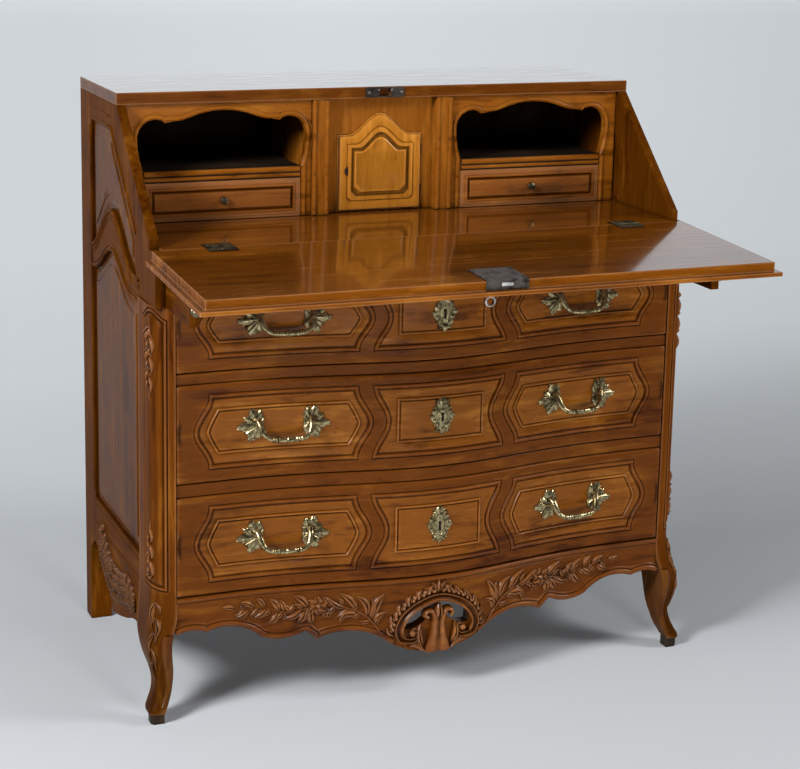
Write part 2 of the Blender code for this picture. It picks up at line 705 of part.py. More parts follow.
def strike_plate():
    """Slotted plate on the front edge of the top."""
    margin = 4 * GAP
    y = (TOP_FRONT - GAP - LOCK_T, TOP_FRONT - GAP)
    bm = box((-LOCK_HALF, LOCK_HALF), y, (CEILING + margin, HEIGHT - margin))
    return combine(bm, mortise(), "DIFFERENCE")


def bed_hinge(side):
    """Hinge leaf on the writing bed."""
    x = (HALF - HINGE_INSET - HINGE_L, HALF - HINGE_INSET)
    y = (HINGE_Y + 0.004, HINGE_Y + 0.004 + HINGE_LEAF)
    return flipped(box(x, y, (BED_TOP + GAP, BED_TOP + GAP + HINGE_T)), side)


def fall_hinge(side):
    """Hinge leaf on the fall front."""
    x = (HALF - HINGE_INSET - HINGE_L, HALF - HINGE_INSET)
    return flipped(tipped(fall_box(x, (0.004, 0.004 + HINGE_LEAF), (GAP, GAP + HINGE_T))), side)


# Long drawers
def drawer_front(z):
    """Front board that follows the bow."""
    return prism(bowed_edge(FRONT_HALF, 0.0) + bowed_edge(FRONT_HALF, FRONT_T)[::-1], "Z", z[0], z[1])


def drawer_box(z):
    """Box behind a bowed front."""
    half, wall, back = FRONT_HALF - BOX_EASE, BOX_WALL, BACK_Y - BOX_SHORT
    outer = bowed_edge(half, FRONT_T + GAP) + [(half, back), (-half, back)]
    inner = bowed_edge(half - wall, FRONT_T + GAP + wall * 0.8)
    inner += [(half - wall, back - wall), (wall - half, back - wall)]
    base = z[0] - BELOW + 2 * GAP
    return tray(outer, inner, base, base + BOX_FLOOR, z[1] - BOX_DROP)


def handle(middle, z):
    """Cast pull: a leaf at each end and a drooping bar between them, as one swept shape."""
    # Shares of the half length, droop and reach, then half height of a leaf or bar and half thickness
    leaf, bar, grip = HANDLE_LEAF, HANDLE_BAR, 1.2 * HANDLE_BAR
    half = [(1.0, 0.15, 0.105, 0.15 * leaf, 0.5 * bar), (0.875, 0.15, 0.12, 0.68 * leaf, 0.6 * bar),
            (0.71, 0.15, 0.14, leaf, 0.7 * bar), (0.59, 0.10, 0.21, 0.68 * leaf, 0.9 * bar),
            (0.544, -0.22, 0.41, 1.6 * bar, bar), (0.494, -0.61, 0.68, bar, bar),
            (0.40, -0.86, 0.86, bar, bar), (0.25, -0.97, 0.96, bar, bar), (0.11, -1.0, 0.99, grip, grip)]
    shares = [(-u, v, n, a, b) for u, v, n, a, b in half] + [(0.0, -1.0, 1.0, grip, grip)] + half[::-1]
    stations = [(HANDLE_HALF * u, HANDLE_DROP * v, HANDLE_OUT * n, a, b) for u, v, n, a, b in shares]
    path = [Vector((middle + u, bow(middle + u) - n - GAP, z + v)) for u, v, n, _, _ in stations]
    rings = []
    for i, (_, _, _, a, b) in enumerate(stations):
        along = (path[min(i + 1, len(path) - 1)] - path[max(i - 1, 0)]).normalized()
        up = Vector((0.0, 0.0, 1.0))
        up = (up - up.dot(along) * along).normalized()
        out = along.cross(up)
        rings.append([path[i] + up * (a * c) + out * (b * s) for c, s in circle(1.0, 8)])
    return loft(rings)


def key_plate(z):
    """Lozenge-shaped key plate with scalloped edges."""
    outline = []
    for i in range(24):
        angle = 2 * math.pi * i / 24
        reach = 1.0 / (abs(math.cos(angle)) + abs(math.sin(angle))) ** 0.55
        swell = reach * (1 + 0.07 * math.cos(8 * angle))
        outline.append((PLATE_HALF_W * swell * math.cos(angle), z + PLATE_HALF_H * swell * math.sin(angle)))
    front = -BOW - GAP
    return prism(outline, "Y", front - PLATE_T, front)


def build_case():
    """Fixed pieces of the case."""
    for word, side in (("left", -1), ("right", 1)):
        make(word + "_front_post", front_post(side), "walnut")
        make(word + "_rear_post", rear_post(side), "walnut")
        make(word + "_slope_stile", slope_stile(side), "walnut")
        make(word + "_middle_rail", middle_rail(side), "walnut")
        make(word + "_upper_panel", upper_panel(side), "walnut")
        make(word + "_lower_panel", lower_panel(side), "walnut")
        make(word + "_side_apron", side_apron(side), "walnut")
    make("top_board", top_board(), "walnut")
    make("front_apron", front_apron(), "walnut")
    across = (-SIDE_IN + GAP, SIDE_IN - GAP)
    make("back_panel", box(across, (BACK_Y, BACK_Y + BACK_T), (BASE_RAIL_Z[0], CEILING - GAP)), "inner_wood")
    make("writing_bed", box(across, (HINGE_Y + RUN, BACK_Y - GAP), (BED_TOP - BED_T, BED_TOP)), "walnut")
    make("bed_rail", bed_rail(), "walnut")
    make("upper_drawer_frame", drawer_frame(UPPER_RAIL_Z, RAIL_SET_BACK), "walnut")
    make("lower_drawer_frame", drawer_frame(LOWER_RAIL_Z, RAIL_SET_BACK), "walnut")
    make("bottom_drawer_frame", drawer_frame(BASE_RAIL_Z, APRON_T + GAP), "inner_wood")


def build_interior():
    """Pigeonholes, cupboard and small drawers."""
    make("cupboard_frame", cupboard_frame(), "walnut")
    make("cupboard_door", cupboard_door(), "walnut", (DOOR_HALF, DOOR_Y, BED_TOP))
    profile = [(0.0, 0.0030), (0.0035, 0.0022), (0.0060, 0.0045), (0.0095, 0.0045), (0.0115, 0.0022)]
    for word, side in (("left", -1), ("right", 1)):
        make(word + "_bay_front", bay_front(side), "walnut")
        across = (BAY_X[0] + GAP, BAY_X[1] - GAP)
        make(word + "_shelf", flipped(box(across, (FACE_Y, BACK_Y - GAP), SHELF_Z), side), "walnut")
        spot = (side * BAY_MIDDLE, FACE_Y, BED_TOP + SMALL_H / 2)
        make(word + "_small_drawer", small_drawer(side), "walnut", spot)
        make(word + "_small_knob", turned(profile, spot), "brass", spot)


def build_fall():
    """Fall front, its hinges and its lock."""
    hinge = (0.0, HINGE_Y, BED_TOP)
    make("fall_front", fall_front(), "walnut", hinge)
    make("fall_lock", fall_lock(), "iron", hinge)
    make("lock_bolt", lock_bolt(), "steel", fall_spot(FALL_LENGTH, -BOLT_DEPTH - BOLT_T / 2))
    make("key", key(), "steel", fall_spot(KEY_S, FALL_UNDER))
    make("strike_plate", strike_plate(), "iron")
    for word, side in (("left", -1), ("right", 1)):
        make(word + "_bed_hinge", bed_hinge(side), "brass")
        make(word + "_fall_hinge", fall_hinge(side), "brass", hinge)


def build_lopers():
    """Sliding supports of the fall front and their knobs."""
    profile = [(0.0, 0.0045), (0.004, 0.0035), (0.007, 0.0070), (0.011, 0.0078)]
    profile += [(0.015, 0.0062), (0.0175, 0.0025)]
    for word, side in (("left", -1), ("right", 1)):
        bar = flipped(box(LOPER_X, (-LOPER_OUT, LOPER_LENGTH - LOPER_OUT), LOPER_Z), side)
        end = (side * sum(LOPER_X) / 2, -LOPER_OUT - GAP, LOPER_TOP - LOPER_KNOB_DROP)
        make(word + "_loper", bar, "walnut", end)
        make(word + "_loper_knob", turned(profile, end), "brass", end)


def build_drawers():
    """Three long drawers with their fittings."""
    for word, z in (("top", TOP_Z), ("middle", MIDDLE_Z), ("bottom", BOTTOM_Z)):
        middle = sum(z) / 2
        make(word + "_drawer_front", drawer_front(z), "walnut", (0.0, -BOW, middle))
        make(word + "_drawer_box", drawer_box(z), "inner_wood", (0.0, BACK_Y - BOX_SHORT, middle))
        for hand, side in (("left", -1), ("right", 1)):
            spot = (side * HANDLE_X, bow(HANDLE_X), middle + HANDLE_RISE)
            make(word + "_" + hand + "_handle", handle(spot[0], spot[2]), "brass", spot)
        plate_z = middle + HANDLE_RISE
        make(word + "_escutcheon", key_plate(plate_z), "brass", (0.0, -BOW, plate_z))


clear_scene()
build_case()
build_interior()
build_fall()
build_lopers()
build_drawers()
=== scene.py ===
"""Look of the writing bureau: carved and moulded pieces, fittings, finishes, light and camera."""
import json
import math

import bmesh
import bpy
import numpy as np
from mathutils import Matrix, Vector

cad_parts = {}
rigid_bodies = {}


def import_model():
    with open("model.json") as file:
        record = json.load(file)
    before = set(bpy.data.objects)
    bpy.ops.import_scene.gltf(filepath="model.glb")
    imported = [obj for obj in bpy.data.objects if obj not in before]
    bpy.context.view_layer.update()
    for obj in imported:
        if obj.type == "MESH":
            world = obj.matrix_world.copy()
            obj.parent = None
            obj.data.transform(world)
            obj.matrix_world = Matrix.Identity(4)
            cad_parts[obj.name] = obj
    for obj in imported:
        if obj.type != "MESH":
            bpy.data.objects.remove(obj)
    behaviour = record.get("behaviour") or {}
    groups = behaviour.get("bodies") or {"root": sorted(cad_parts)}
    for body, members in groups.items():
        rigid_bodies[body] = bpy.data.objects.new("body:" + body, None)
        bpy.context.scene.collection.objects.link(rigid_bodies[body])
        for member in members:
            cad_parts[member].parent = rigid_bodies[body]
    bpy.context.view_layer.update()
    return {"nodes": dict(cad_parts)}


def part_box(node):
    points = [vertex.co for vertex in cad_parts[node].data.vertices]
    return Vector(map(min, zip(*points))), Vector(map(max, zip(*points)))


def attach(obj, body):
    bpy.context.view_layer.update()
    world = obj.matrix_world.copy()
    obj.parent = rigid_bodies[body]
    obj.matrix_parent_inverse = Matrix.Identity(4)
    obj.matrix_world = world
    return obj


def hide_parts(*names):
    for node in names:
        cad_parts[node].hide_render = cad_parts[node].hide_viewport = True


for start_object in list(bpy.data.objects):
    bpy.data.objects.remove(start_object)
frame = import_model()

# Sizes shared with the part's source, in metres, with y measured from the front of the posts
SHIFT = -0.109084
HALF = 0.475
POST_IN, POST_OUT, POST_D, POST_TOP = 0.4428, 0.4775, 0.0997, 0.688994
FRONT_HALF, RAIL_HALF, FRONT_T, RAIL_SET_BACK, RAIL_D, RUNNER_W = 0.442, 0.4425, 0.022, 0.003, 0.060, 0.042
BOW, BOW_SPAN = 0.040, 0.450
PANEL_SET_BACK, STILE_Y, BACK_Y = 0.005, 0.4203, 0.4867
HINGE_Y, FALL_DROOP, FALL_LENGTH, FALL_T, LIP_T = 0.021, math.radians(3.0), 0.294035, 0.015, 0.007
BED_TOP, CEILING = 0.778, 0.980
APRON_TOP, APRON_T, APRON_DROP, CARTOUCHE_HALF = 0.2064, 0.020, 0.133, 0.085
SIDE_APRON_TOP = 0.250
FACE_Y, DOOR_Y, DOOR_HALF = 0.248, 0.2623, 0.0785
BAY_MIDDLE, BAY_HALF, SHELF_TOP, SHELF_LOW = 0.2894, 0.1393, 0.866, 0.846
HANDLE_X, HANDLE_RISE = 0.265, 0.006
SINK = 0.0004
FORWARD = np.array((0.0, -1.0, 0.0))
UP = np.array((0.0, 0.0, 1.0))
SIDES = (("left", -1), ("right", 1))
DRAWERS = ("top", "middle", "bottom")


# Curves and surfaces
def bell(u):
    """Smooth hump from 0 at -1 to 1 at 0 and back to 0 at 1."""
    return np.where(np.abs(u) < 1, (1 + np.cos(np.pi * np.asarray(u))) / 2, 0.0)


def bow(x):
    """Forward bulge of the front at a place across the case."""
    return -BOW * bell(np.asarray(x) / BOW_SPAN) ** 2


def smooth(places, values, x):
    """Smooth values at x through values at a few places."""
    slope = np.gradient(values, places, axis=0)
    i = np.clip(np.searchsorted(places, x, side="right") - 1, 0, len(places) - 2)
    span = (places[i + 1] - places[i])[..., None]
    u = (x - places[i])[..., None] / span
    return ((2 * u**3 - 3 * u**2 + 1) * values[i] + (u**3 - 2 * u**2 + u) * span * slope[i]
            + (3 * u**2 - 2 * u**3) * values[i + 1] + (u**3 - u**2) * span * slope[i + 1])


def distances(points):
    """Distance along a path to each of its points."""
    return np.concatenate([[0.0], np.cumsum(np.linalg.norm(np.diff(points, axis=0), axis=1))])


def curve(points, count):
    """Smooth path through a few points."""
    points = np.asarray(points, float)
    along = distances(points)
    return smooth(along, points, np.linspace(0.0, along[-1], count))


def heading(path):
    """Direction along a path at each of its points."""
    step = np.gradient(path, axis=0)
    return step / (np.linalg.norm(step, axis=1)[:, None] + 1e-12)


def offset_path(path, distance):
    """Open path moved to its left by a distance."""
    step = heading(path)
    return path + distance * np.stack([-step[:, 1], step[:, 0]], -1)


def turns(count):
    """Angles spaced evenly round a circle."""
    return np.linspace(0.0, 2 * math.pi, count, endpoint=False)


def arc(first, middle, last, count=16):
    """Points on the circle through three points, the last one left out."""
    (ax, ay), (bx, by), (cx, cy) = first, middle, last
    d = 2 * (ax * (by - cy) + bx * (cy - ay) + cx * (ay - by))
    a2, b2, c2 = ax * ax + ay * ay, bx * bx + by * by, cx * cx + cy * cy
    ux = (a2 * (by - cy) + b2 * (cy - ay) + c2 * (ay - by)) / d
    uy = (a2 * (cx - bx) + b2 * (ax - cx) + c2 * (bx - ax)) / d
    angles = np.unwrap([math.atan2(y - uy, x - ux) for x, y in (first, middle, last)])
    turn = np.linspace(angles[0], angles[2], count + 1)[:-1]
    radius = math.hypot(ax - ux, ay - uy)
    return [(ux + radius * math.cos(a), uy + radius * math.sin(a)) for a in turn]


def front_at(a, b, h):
    """Place on the bowed front: across, up and out."""
    a, b, h = np.broadcast_arrays(a, b, h)
    return np.stack([a, SHIFT + bow(a) - h, b], -1)


def flat_at(y):
    """Upright plane facing forward at a depth in the case."""
    def at(a, b, h):
        a, b, h = np.broadcast_arrays(a, b, h)
        return np.stack([a, SHIFT + y - h, b], -1)
    return at


def side_at(side, inset=0.0):
    """Outer face of one side: back, up and out."""
    def at(a, b, h):
        a, b, h = np.broadcast_arrays(a, b, h)
        return np.stack([side * (HALF - inset + h), SHIFT + a, b], -1)
    return at


def fall_at(a, b, h):
    """Open fall front: across, out from the hinge and up from the writing face."""
    a, b, h = np.broadcast_arrays(a, b, h)
    c, s = math.cos(FALL_DROOP), math.sin(FALL_DROOP)
    return np.stack([a, SHIFT + HINGE_Y - b * c - h * s, BED_TOP - b * s + h * c], -1)


# Pieces
class Shape:
    """Points and faces of one piece."""

    def __init__(self):
        self.points = []
        self.faces = []

    def grid(self, points, out=None, loop=False):
        """Four-sided faces over rows of points; loop joins each row's end to its start."""
        points = np.asarray(points, float)
        rows, columns = points.shape[:2]
        index = np.arange(rows * columns).reshape(rows, columns)
        if loop:
            index = np.hstack([index, index[:, :1]])
        quads = np.stack([index[:-1, :-1], index[:-1, 1:], index[1:, 1:], index[1:, :-1]], -1).reshape(-1,
                                                                                                       4)
        corner = points.reshape(-1, 3)[quads]
        normal = np.cross(corner[:, 2] - corner[:, 0], corner[:, 3] - corner[:, 1])
        if out is None:
            middle = corner.mean(axis=1)
            hub = np.repeat(points.mean(axis=1)[:-1], index.shape[1] - 1, axis=0)
            facing = (normal * (middle - hub)).sum()
        else:
            facing = normal.sum(axis=0) @ out
        if facing < 0:
            quads = quads[:, ::-1]
        start = len(self.points)
        self.points.extend(points.reshape(-1, 3).tolist())
        self.faces.extend((quads + start).tolist())

    def face(self, points, out):
        """One flat face."""
        points = np.asarray(points, float)
        shifted = np.roll(points, -1, axis=0)
        order = list(range(len(points)))
        if np.cross(points, shifted).sum(axis=0) @ np.asarray(out) < 0:
            order.reverse()
        start = len(self.points)
        self.points.extend(points.tolist())
        self.faces.append([start + i for i in order])

    def tube(self, path, radius, sides, up):
        """Closed round bar along a path in space; radius may change along it."""
        path = np.asarray(path, float)
        radius = np.broadcast_to(radius, len(path))
        along = np.gradient(path, axis=0)
        along /= np.linalg.norm(along, axis=1)[:, None]
        across = np.cross(along, up)
        across /= np.linalg.norm(across, axis=1)[:, None]
        rise = np.cross(across, along)
        turn = turns(sides)
        ring = np.cos(turn)[:, None] * across[:, None] + np.sin(turn)[:, None] * rise[:, None]
        points = path[:, None] + radius[:, None, None] * ring
        self.grid(points, loop=True)
        self.face(points[0], -along[0])
        self.face(points[-1], along[-1])

    def turned(self, centre, axis, profile, sides=20):
        """Turned shape about an axis from pairs of distance along it and radius."""
        axis = np.asarray(axis, float)
        axis = axis / np.linalg.norm(axis)
        first = np.cross(axis, (1.0, 0.0, 0.0) if abs(axis[0]) < 0.9 else (0.0, 0.0, 1.0))
        first /= np.linalg.norm(first)
        second = np.cross(axis, first)
        turn = turns(sides)
        ring = np.cos(turn)[:, None] * first + np.sin(turn)[:, None] * second
        rows = [np.asarray(centre) + axis * d + max(r, 1e-5) * ring for d, r in profile]
        self.grid(rows, loop=True)

    def slab(self, outline, at, low, high, out):
        """Flat plate with an outline on a surface, from one height to another."""
        outline = np.asarray(outline, float)
        top = at(outline[:, 0], outline[:, 1], high)
        bottom = at(outline[:, 0], outline[:, 1], low)
        self.grid(np.stack([bottom, top]), loop=True)
        self.face(top, out)
        self.face(bottom, -np.asarray(out))


def piece(shape, name, body, material, nodes=(), sharp=38):
    """Make a piece from a shape, on a body, in a finish, in place of CAD nodes if any are named."""
    mesh = bpy.data.meshes.new(name)
    mesh.from_pydata(shape.points, [], shape.faces)
    bm = bmesh.new()
    bm.from_mesh(mesh)
    bmesh.ops.remove_doubles(bm, verts=bm.verts, dist=3e-6)
    bm.to_mesh(mesh)
    bm.free()
    mesh.shade_smooth()
    mesh.set_sharp_from_angle(angle=math.radians(sharp))
    mesh.materials.append(material)
    obj = bpy.data.objects.new(name, mesh)
    bpy.context.scene.collection.objects.link(obj)
    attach(obj, body)
    if nodes:
        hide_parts(*nodes)
    return obj


# Reliefs laid along a path on a surface
TURN = np.linspace(0.0, math.pi, 9)
ROUND = (-np.cos(TURN), np.sin(TURN))
LEAF = (np.array((-1, -0.8, -0.5, -0.2, -0.05, 0.05, 0.2, 0.5, 0.8, 1)),
        np.array((0, 0.55, 0.9, 1, 0.62, 0.62, 1, 0.9, 0.55, 0)))
PETAL = (np.array((-1, -0.75, -0.4, 0, 0.4, 0.75, 1)), np.array((0.0, 0.9, 0.75, 0.55, 0.75, 0.9, 0.0)))


def beads(count):
    """Section of several round beads side by side."""
    turn = np.linspace(0.0, math.pi, 7)
    across = np.concatenate([(2 * i + 1 - count - np.cos(turn)) / count for i in range(count)])
    return across, np.concatenate([np.sin(turn)] * count)


def strap(shape, at, path, width, height, section=ROUND, out=FORWARD):
    """Relief of a given half width and height along a path on a surface."""
    path = np.asarray(path, float)
    step = heading(path)
    across, lift = section
    wide = np.broadcast_to(width, len(path))[:, None] * across
    place = path[:, None] + np.stack([-step[:, 1], step[:, 0]], -1)[:, None] * wide[..., None]
    tall = np.broadcast_to(height, len(path))[:, None] * lift - SINK
    shape.grid(at(place[..., 0], place[..., 1], tall), out)


def leaf(shape, at, base, tip, width, height, out, bend=0.15, section=LEAF, blunt=0.8):
    """Pointed leaf from its stalk to its tip, bent to one side."""
    base, tip = np.asarray(base, float), np.asarray(tip, float)
    t = np.linspace(0.0, 1.0, 11)
    reach = tip - base
    path = base + t[:, None] * reach + (bend * np.sin(math.pi * t))[:,
                                                                    None] * np.array((-reach[1], reach[0]))
    wide = 0.5 * width * np.sin(math.pi * t**blunt) ** 0.75 + 0.0002
    strap(shape, at, path, wide, height * (0.35 + 0.65 * np.sin(math.pi * t)), section, out)


def flower(shape, at, centre, radius, height, out, petals=5, turn=0.3):
    """Open flower with a raised eye."""
    centre = np.asarray(centre, float)
    for i in range(petals):
        angle = turn + 2 * math.pi * i / petals
        way = np.array((math.cos(angle), math.sin(angle)))
        leaf(shape, at, centre + 0.15 * radius * way, centre + radius * way, 0.8 * radius, height, out, 0.1,
             PETAL, 1.2)
    strap(shape, at, [centre - (0.28 * radius, 0), centre, centre + (0.28 * radius, 0)],
          np.array((0.05, 0.28, 0.05)) * radius, height * np.array((0.5, 1.3, 0.5)), out=out)


def stem(shape, at, points, width, height, out, count=40):
    """Thin stalk that tapers to its end."""
    taper = np.linspace(1.0, 0.35, count)
    strap(shape, at, curve(points, count), width * taper, height * taper, out=out)


# Finishes
class Finish:
    """Procedural material round one shader."""

    def __init__(self, name):
        self.material = bpy.data.materials.new(name)
        self.material.use_nodes = True
        self.tree = self.material.node_tree
        self.shader = self.tree.nodes["Principled BSDF"]
        self.place = self.add("ShaderNodeTexCoord").outputs["Object"]
        self.point = self.add("ShaderNodeNewGeometry").outputs["Pointiness"]

    def add(self, kind, inputs=(), **settings):
        """Node with its settings, and its inputs set or linked."""
        node = self.tree.nodes.new(kind)
        for key, value in settings.items():
            setattr(node, key, value)
        for key, value in dict(inputs).items():
            self.put(node, key, value)
        return node

    def put(self, node, key, value):
        """Set or link one input."""
        if isinstance(value, bpy.types.NodeSocket):
            self.tree.links.new(value, node.inputs[key])
        else:
            node.inputs[key].default_value = value

    def noise(self, place, scale, detail=4.0, distortion=0.0, roughness=0.55):
        """Cloudy pattern."""
        values = {"Vector": place, "Scale": scale, "Detail": detail, "Distortion": distortion,
                  "Roughness": roughness}
        return self.add("ShaderNodeTexNoise", values).outputs["Fac"]

    def stretched(self, scale):
        """Place scaled unevenly, for grain."""
        return self.add("ShaderNodeMapping", {"Vector": self.place, "Scale": scale}).outputs["Vector"]

    def ramp(self, value, stops):
        """Colours or shades by value."""
        node = self.add("ShaderNodeValToRGB", {"Fac": value})
        elements = node.color_ramp.elements
        while len(elements) < len(stops):
            elements.new(0.5)
        for element, (position, colour) in zip(elements, stops):
            element.position = position
            element.color = (*colour, 1.0) if len(np.shape(colour)) else (colour, colour, colour, 1.0)
        return node.outputs["Color"]

    def math(self, operation, a, b):
        """Arithmetic on two values."""
        return self.add("ShaderNodeMath", {0: a, 1: b}, operation=operation).outputs["Value"]

    def mix(self, share, a, b, blend="MIX"):
        """Blend of two colours."""
        node = self.add("ShaderNodeMix", {0: share, 6: a, 7: b}, data_type="RGBA", blend_type=blend)
        return node.outputs[2]

    def bump(self, height, strength, distance):
        """Fine surface relief."""
        node = self.add("ShaderNodeBump", {"Height": height, "Strength": strength, "Distance": distance})
        self.put(self.shader, "Normal", node.outputs["Normal"])

    def crevices(self, low=0.44, high=0.56):
        """Dark in hollows, 1 on flats, brighter on raised edges."""
        return self.ramp(self.point, [(low, 0.30), (0.495, 0.95), (0.505, 1.0), (high, 1.35)])


# Pale colour painted on raised and rounded edges as a highlight
PAINTED_EDGE_HIGHLIGHT = (0.42, 0.22, 0.11, 1.0)


def wood(name, along, tones, rough=0.30, ior=1.32, coat=0.0, carved=False, shade_and_grime=0.75, foot=False,
         inner=False):
    """Waxed wood with its grain along one axis; tones run from dark to light.

    Coat is the index of a polish on level faces and paints a pale highlight on rounded edges; carved
    darkens hollows and paints a pale highlight on raised edges; ambient occlusion paints shade, standing
    also for grime, into corners and gaps; foot darkens the wood near the floor; inner paints shade over its
    front.
    """
    finish = Finish(name)
    stretch = [13.0, 13.0, 13.0]
    stretch["XYZ".index(along)] = 1.3
    grain = finish.stretched(stretch)
    flame = finish.noise(grain, 1.6, 5.0, 1.2)
    streak = finish.noise(grain, 7.0, 4.0, 0.3)
    cloud = finish.noise(finish.place, 6.0, 4.0, 1.2)
    pores = finish.noise(finish.stretched([4.0 * s for s in stretch]), 9.0, 2.0)
    blend = finish.math("ADD", finish.math("MULTIPLY", flame, 0.40), finish.math("MULTIPLY", streak, 0.30))
    blend = finish.math("ADD", blend, finish.math("MULTIPLY", cloud, 0.30))
    dark, middle, light = tones
    colour = finish.ramp(blend, [(0.40, dark), (0.475, middle), (0.53, middle), (0.61, light)])
    specks = finish.ramp(pores, [(0.30, 0.55), (0.42, 1.0)])
    colour = finish.mix(0.7, colour, specks, "MULTIPLY")
    if carved:
        colour = finish.mix(1.0, colour, finish.crevices(), "MULTIPLY")
        # Painted highlight: pale colour on raised edges, by pointiness
        colour = finish.mix(finish.ramp(finish.point, [(0.53, 0.0), (0.62, 0.45)]), colour, PAINTED_EDGE_HIGHLIGHT)
    # Painted shade from ambient occlusion in corners, gaps and grooves, standing also for grime
    if shade_and_grime:
        corner = finish.add("ShaderNodeAmbientOcclusion", {"Distance": 0.012}, samples=6).outputs["AO"]
        colour = finish.mix(shade_and_grime, colour, finish.ramp(corner, [(0.25, 0.10), (0.80, 1.0)]), "MULTIPLY")
    normal = finish.add("ShaderNodeSeparateXYZ",
                        {"Vector": finish.add("ShaderNodeTexCoord").outputs["Normal"]}).outputs
    # Painted shade: faces that look forward are darkened
    if inner:
        colour = finish.mix(1.0, colour, finish.ramp(normal["Y"], [(-0.9, 0.06), (0.0, 1.0)]), "MULTIPLY")
    if foot:
        height = finish.add("ShaderNodeSeparateXYZ", {"Vector": finish.place}).outputs["Z"]
        colour = finish.mix(1.0, colour, finish.ramp(height, [(0.02, 0.40), (0.14, 0.62), (0.24, 1.0)]),
                            "MULTIPLY")
    finish.put(finish.shader, "Base Color", colour)
    finish.put(finish.shader, "Roughness",
               finish.math("ADD", finish.math("MULTIPLY", streak, 0.25), rough - 0.10))
    finish.bump(finish.math("ADD", pores, finish.math("MULTIPLY", streak, 0.6)), 0.10, 0.0006)
    finish.shader.inputs["IOR"].default_value = ior
    if coat:
        # Painted highlight: pale colour on rounded edges, where the bevelled normal turns from the true one
        rounded = finish.add("ShaderNodeBevel", {"Radius": 0.0040}, samples=4).outputs["Normal"]
        flat = finish.add("ShaderNodeNewGeometry").outputs["True Normal"]
        turn = finish.add("ShaderNodeVectorMath", {0: rounded, 1: flat},
                          operation="DOT_PRODUCT").outputs["Value"]
        colour = finish.mix(finish.ramp(turn, [(0.84, 0.55), (0.995, 0.0)]), colour, PAINTED_EDGE_HIGHLIGHT)
        finish.put(finish.shader, "Base Color", colour)
        level = finish.math("MULTIPLY", normal["Z"], normal["Z"])
        finish.put(finish.shader, "Coat Weight", finish.ramp(level, [(0.85, 0.0), (0.95, 1.0)]))
        finish.shader.inputs["Coat IOR"].default_value = coat
        finish.shader.inputs["Coat Roughness"].default_value = 0.08
    return finish.material


def metal(name, bright, dull, rough, grain=60.0):
    """Aged metal, dull in its hollows and bright on its edges."""
    finish = Finish(name)
    spots = finish.noise(finish.place, grain, 5.0, 0.3)
    fine = finish.noise(finish.place, 6.0 * grain, 3.0)
    colour = finish.ramp(spots, [(0.36, dull), (0.56, bright)])
    colour = finish.mix(1.0, colour, finish.crevices(0.42, 0.58), "MULTIPLY")
    corner = finish.add("ShaderNodeAmbientOcclusion", {"Distance": 0.006}, samples=6).outputs["AO"]
    colour = finish.mix(0.9, colour, finish.ramp(corner, [(0.20, 0.08), (0.75, 1.0)]), "MULTIPLY")
    finish.put(finish.shader, "Base Color", colour)
    finish.put(finish.shader, "Roughness",
               finish.math("ADD", finish.math("MULTIPLY", spots, -0.25), rough + 0.12))
    finish.shader.inputs["Metallic"].default_value = 0.92
    finish.bump(finish.math("ADD", spots, finish.math("MULTIPLY", fine, 0.4)), 0.25, 0.0006)
    return finish.material


WALNUT = ((0.044, 0.010, 0.001), (0.094, 0.025, 0.002), (0.158, 0.052, 0.005))
FIELD = ((0.066, 0.017, 0.001), (0.158, 0.048, 0.004), (0.248, 0.092, 0.012))
SIDE_WOOD = ((0.042, 0.010, 0.001), (0.084, 0.023, 0.001), (0.140, 0.045, 0.004))
PALE = ((0.100, 0.027, 0.001), (0.220, 0.067, 0.005), (0.320, 0.114, 0.011))
SMALL = ((0.062, 0.016, 0.001), (0.145, 0.039, 0.002), (0.240, 0.078, 0.007))
DOOR = ((0.150, 0.046, 0.003), (0.330, 0.120, 0.011), (0.450, 0.180, 0.022))
LID = ((0.092, 0.024, 0.002), (0.158, 0.045, 0.003), (0.255, 0.086, 0.009))
INSIDE = ((0.030, 0.014, 0.005), (0.075, 0.038, 0.014), (0.130, 0.070, 0.028))
# Near-black tones that paint the shade on the pigeonhole shelves
SHELF_SHADE_TONES = ((0.006, 0.004, 0.003), (0.020, 0.012, 0.007), (0.040, 0.025, 0.015))
walnut_across = wood("walnut_across", "X", WALNUT, 0.28, 1.2)
walnut_moulded = wood("walnut_moulded", "X", WALNUT, 0.26, 1.2, carved=True, shade_and_grime=0.5)
walnut_field = wood("walnut_field", "X", FIELD, 0.24, 1.25, carved=True, shade_and_grime=0.4)
walnut_upright = wood("walnut_upright", "Z", SIDE_WOOD, 0.34, 1.05)
post_upright = wood("walnut_post", "Z", WALNUT, 0.30, 1.07, carved=True, shade_and_grime=0.6, foot=True)
walnut_deep = wood("walnut_deep", "Y", SIDE_WOOD, 0.34, 1.05)
walnut_carved = wood("walnut_carved", "X", WALNUT, 0.30, 1.32, carved=True, shade_and_grime=0.9)
carved_upright = wood("walnut_carved_upright", "Z", WALNUT, 0.30, 1.25, carved=True, shade_and_grime=0.9, foot=True)
polished_top = wood("polished_top", "X", WALNUT, 0.26, 1.2, 2.2)
polished_fall = wood("polished_fall", "X", LID, 0.24, 1.08, 1.8)
polished_upright = wood("polished_walnut_upright", "Z", SIDE_WOOD, 0.20, 1.09)
pale_across = wood("pale_walnut_across", "X", PALE, 0.28)
small_across = wood("small_drawer_walnut", "X", SMALL, 0.26, 1.1, carved=True, shade_and_grime=0.45)
pale_upright = wood("pale_walnut_upright", "Z", PALE, 0.26)
door_wood = wood("door_walnut", "Z", DOOR, 0.26, carved=True, shade_and_grime=0.5)
old_oak = wood("old_inner_wood", "X", INSIDE, 0.60, 1.2)
# Back boards with painted shade on their forward faces, inside the pigeonholes
back_oak = wood("back_wood_shaded_front", "Z", INSIDE, 0.60, 1.2, inner=True)
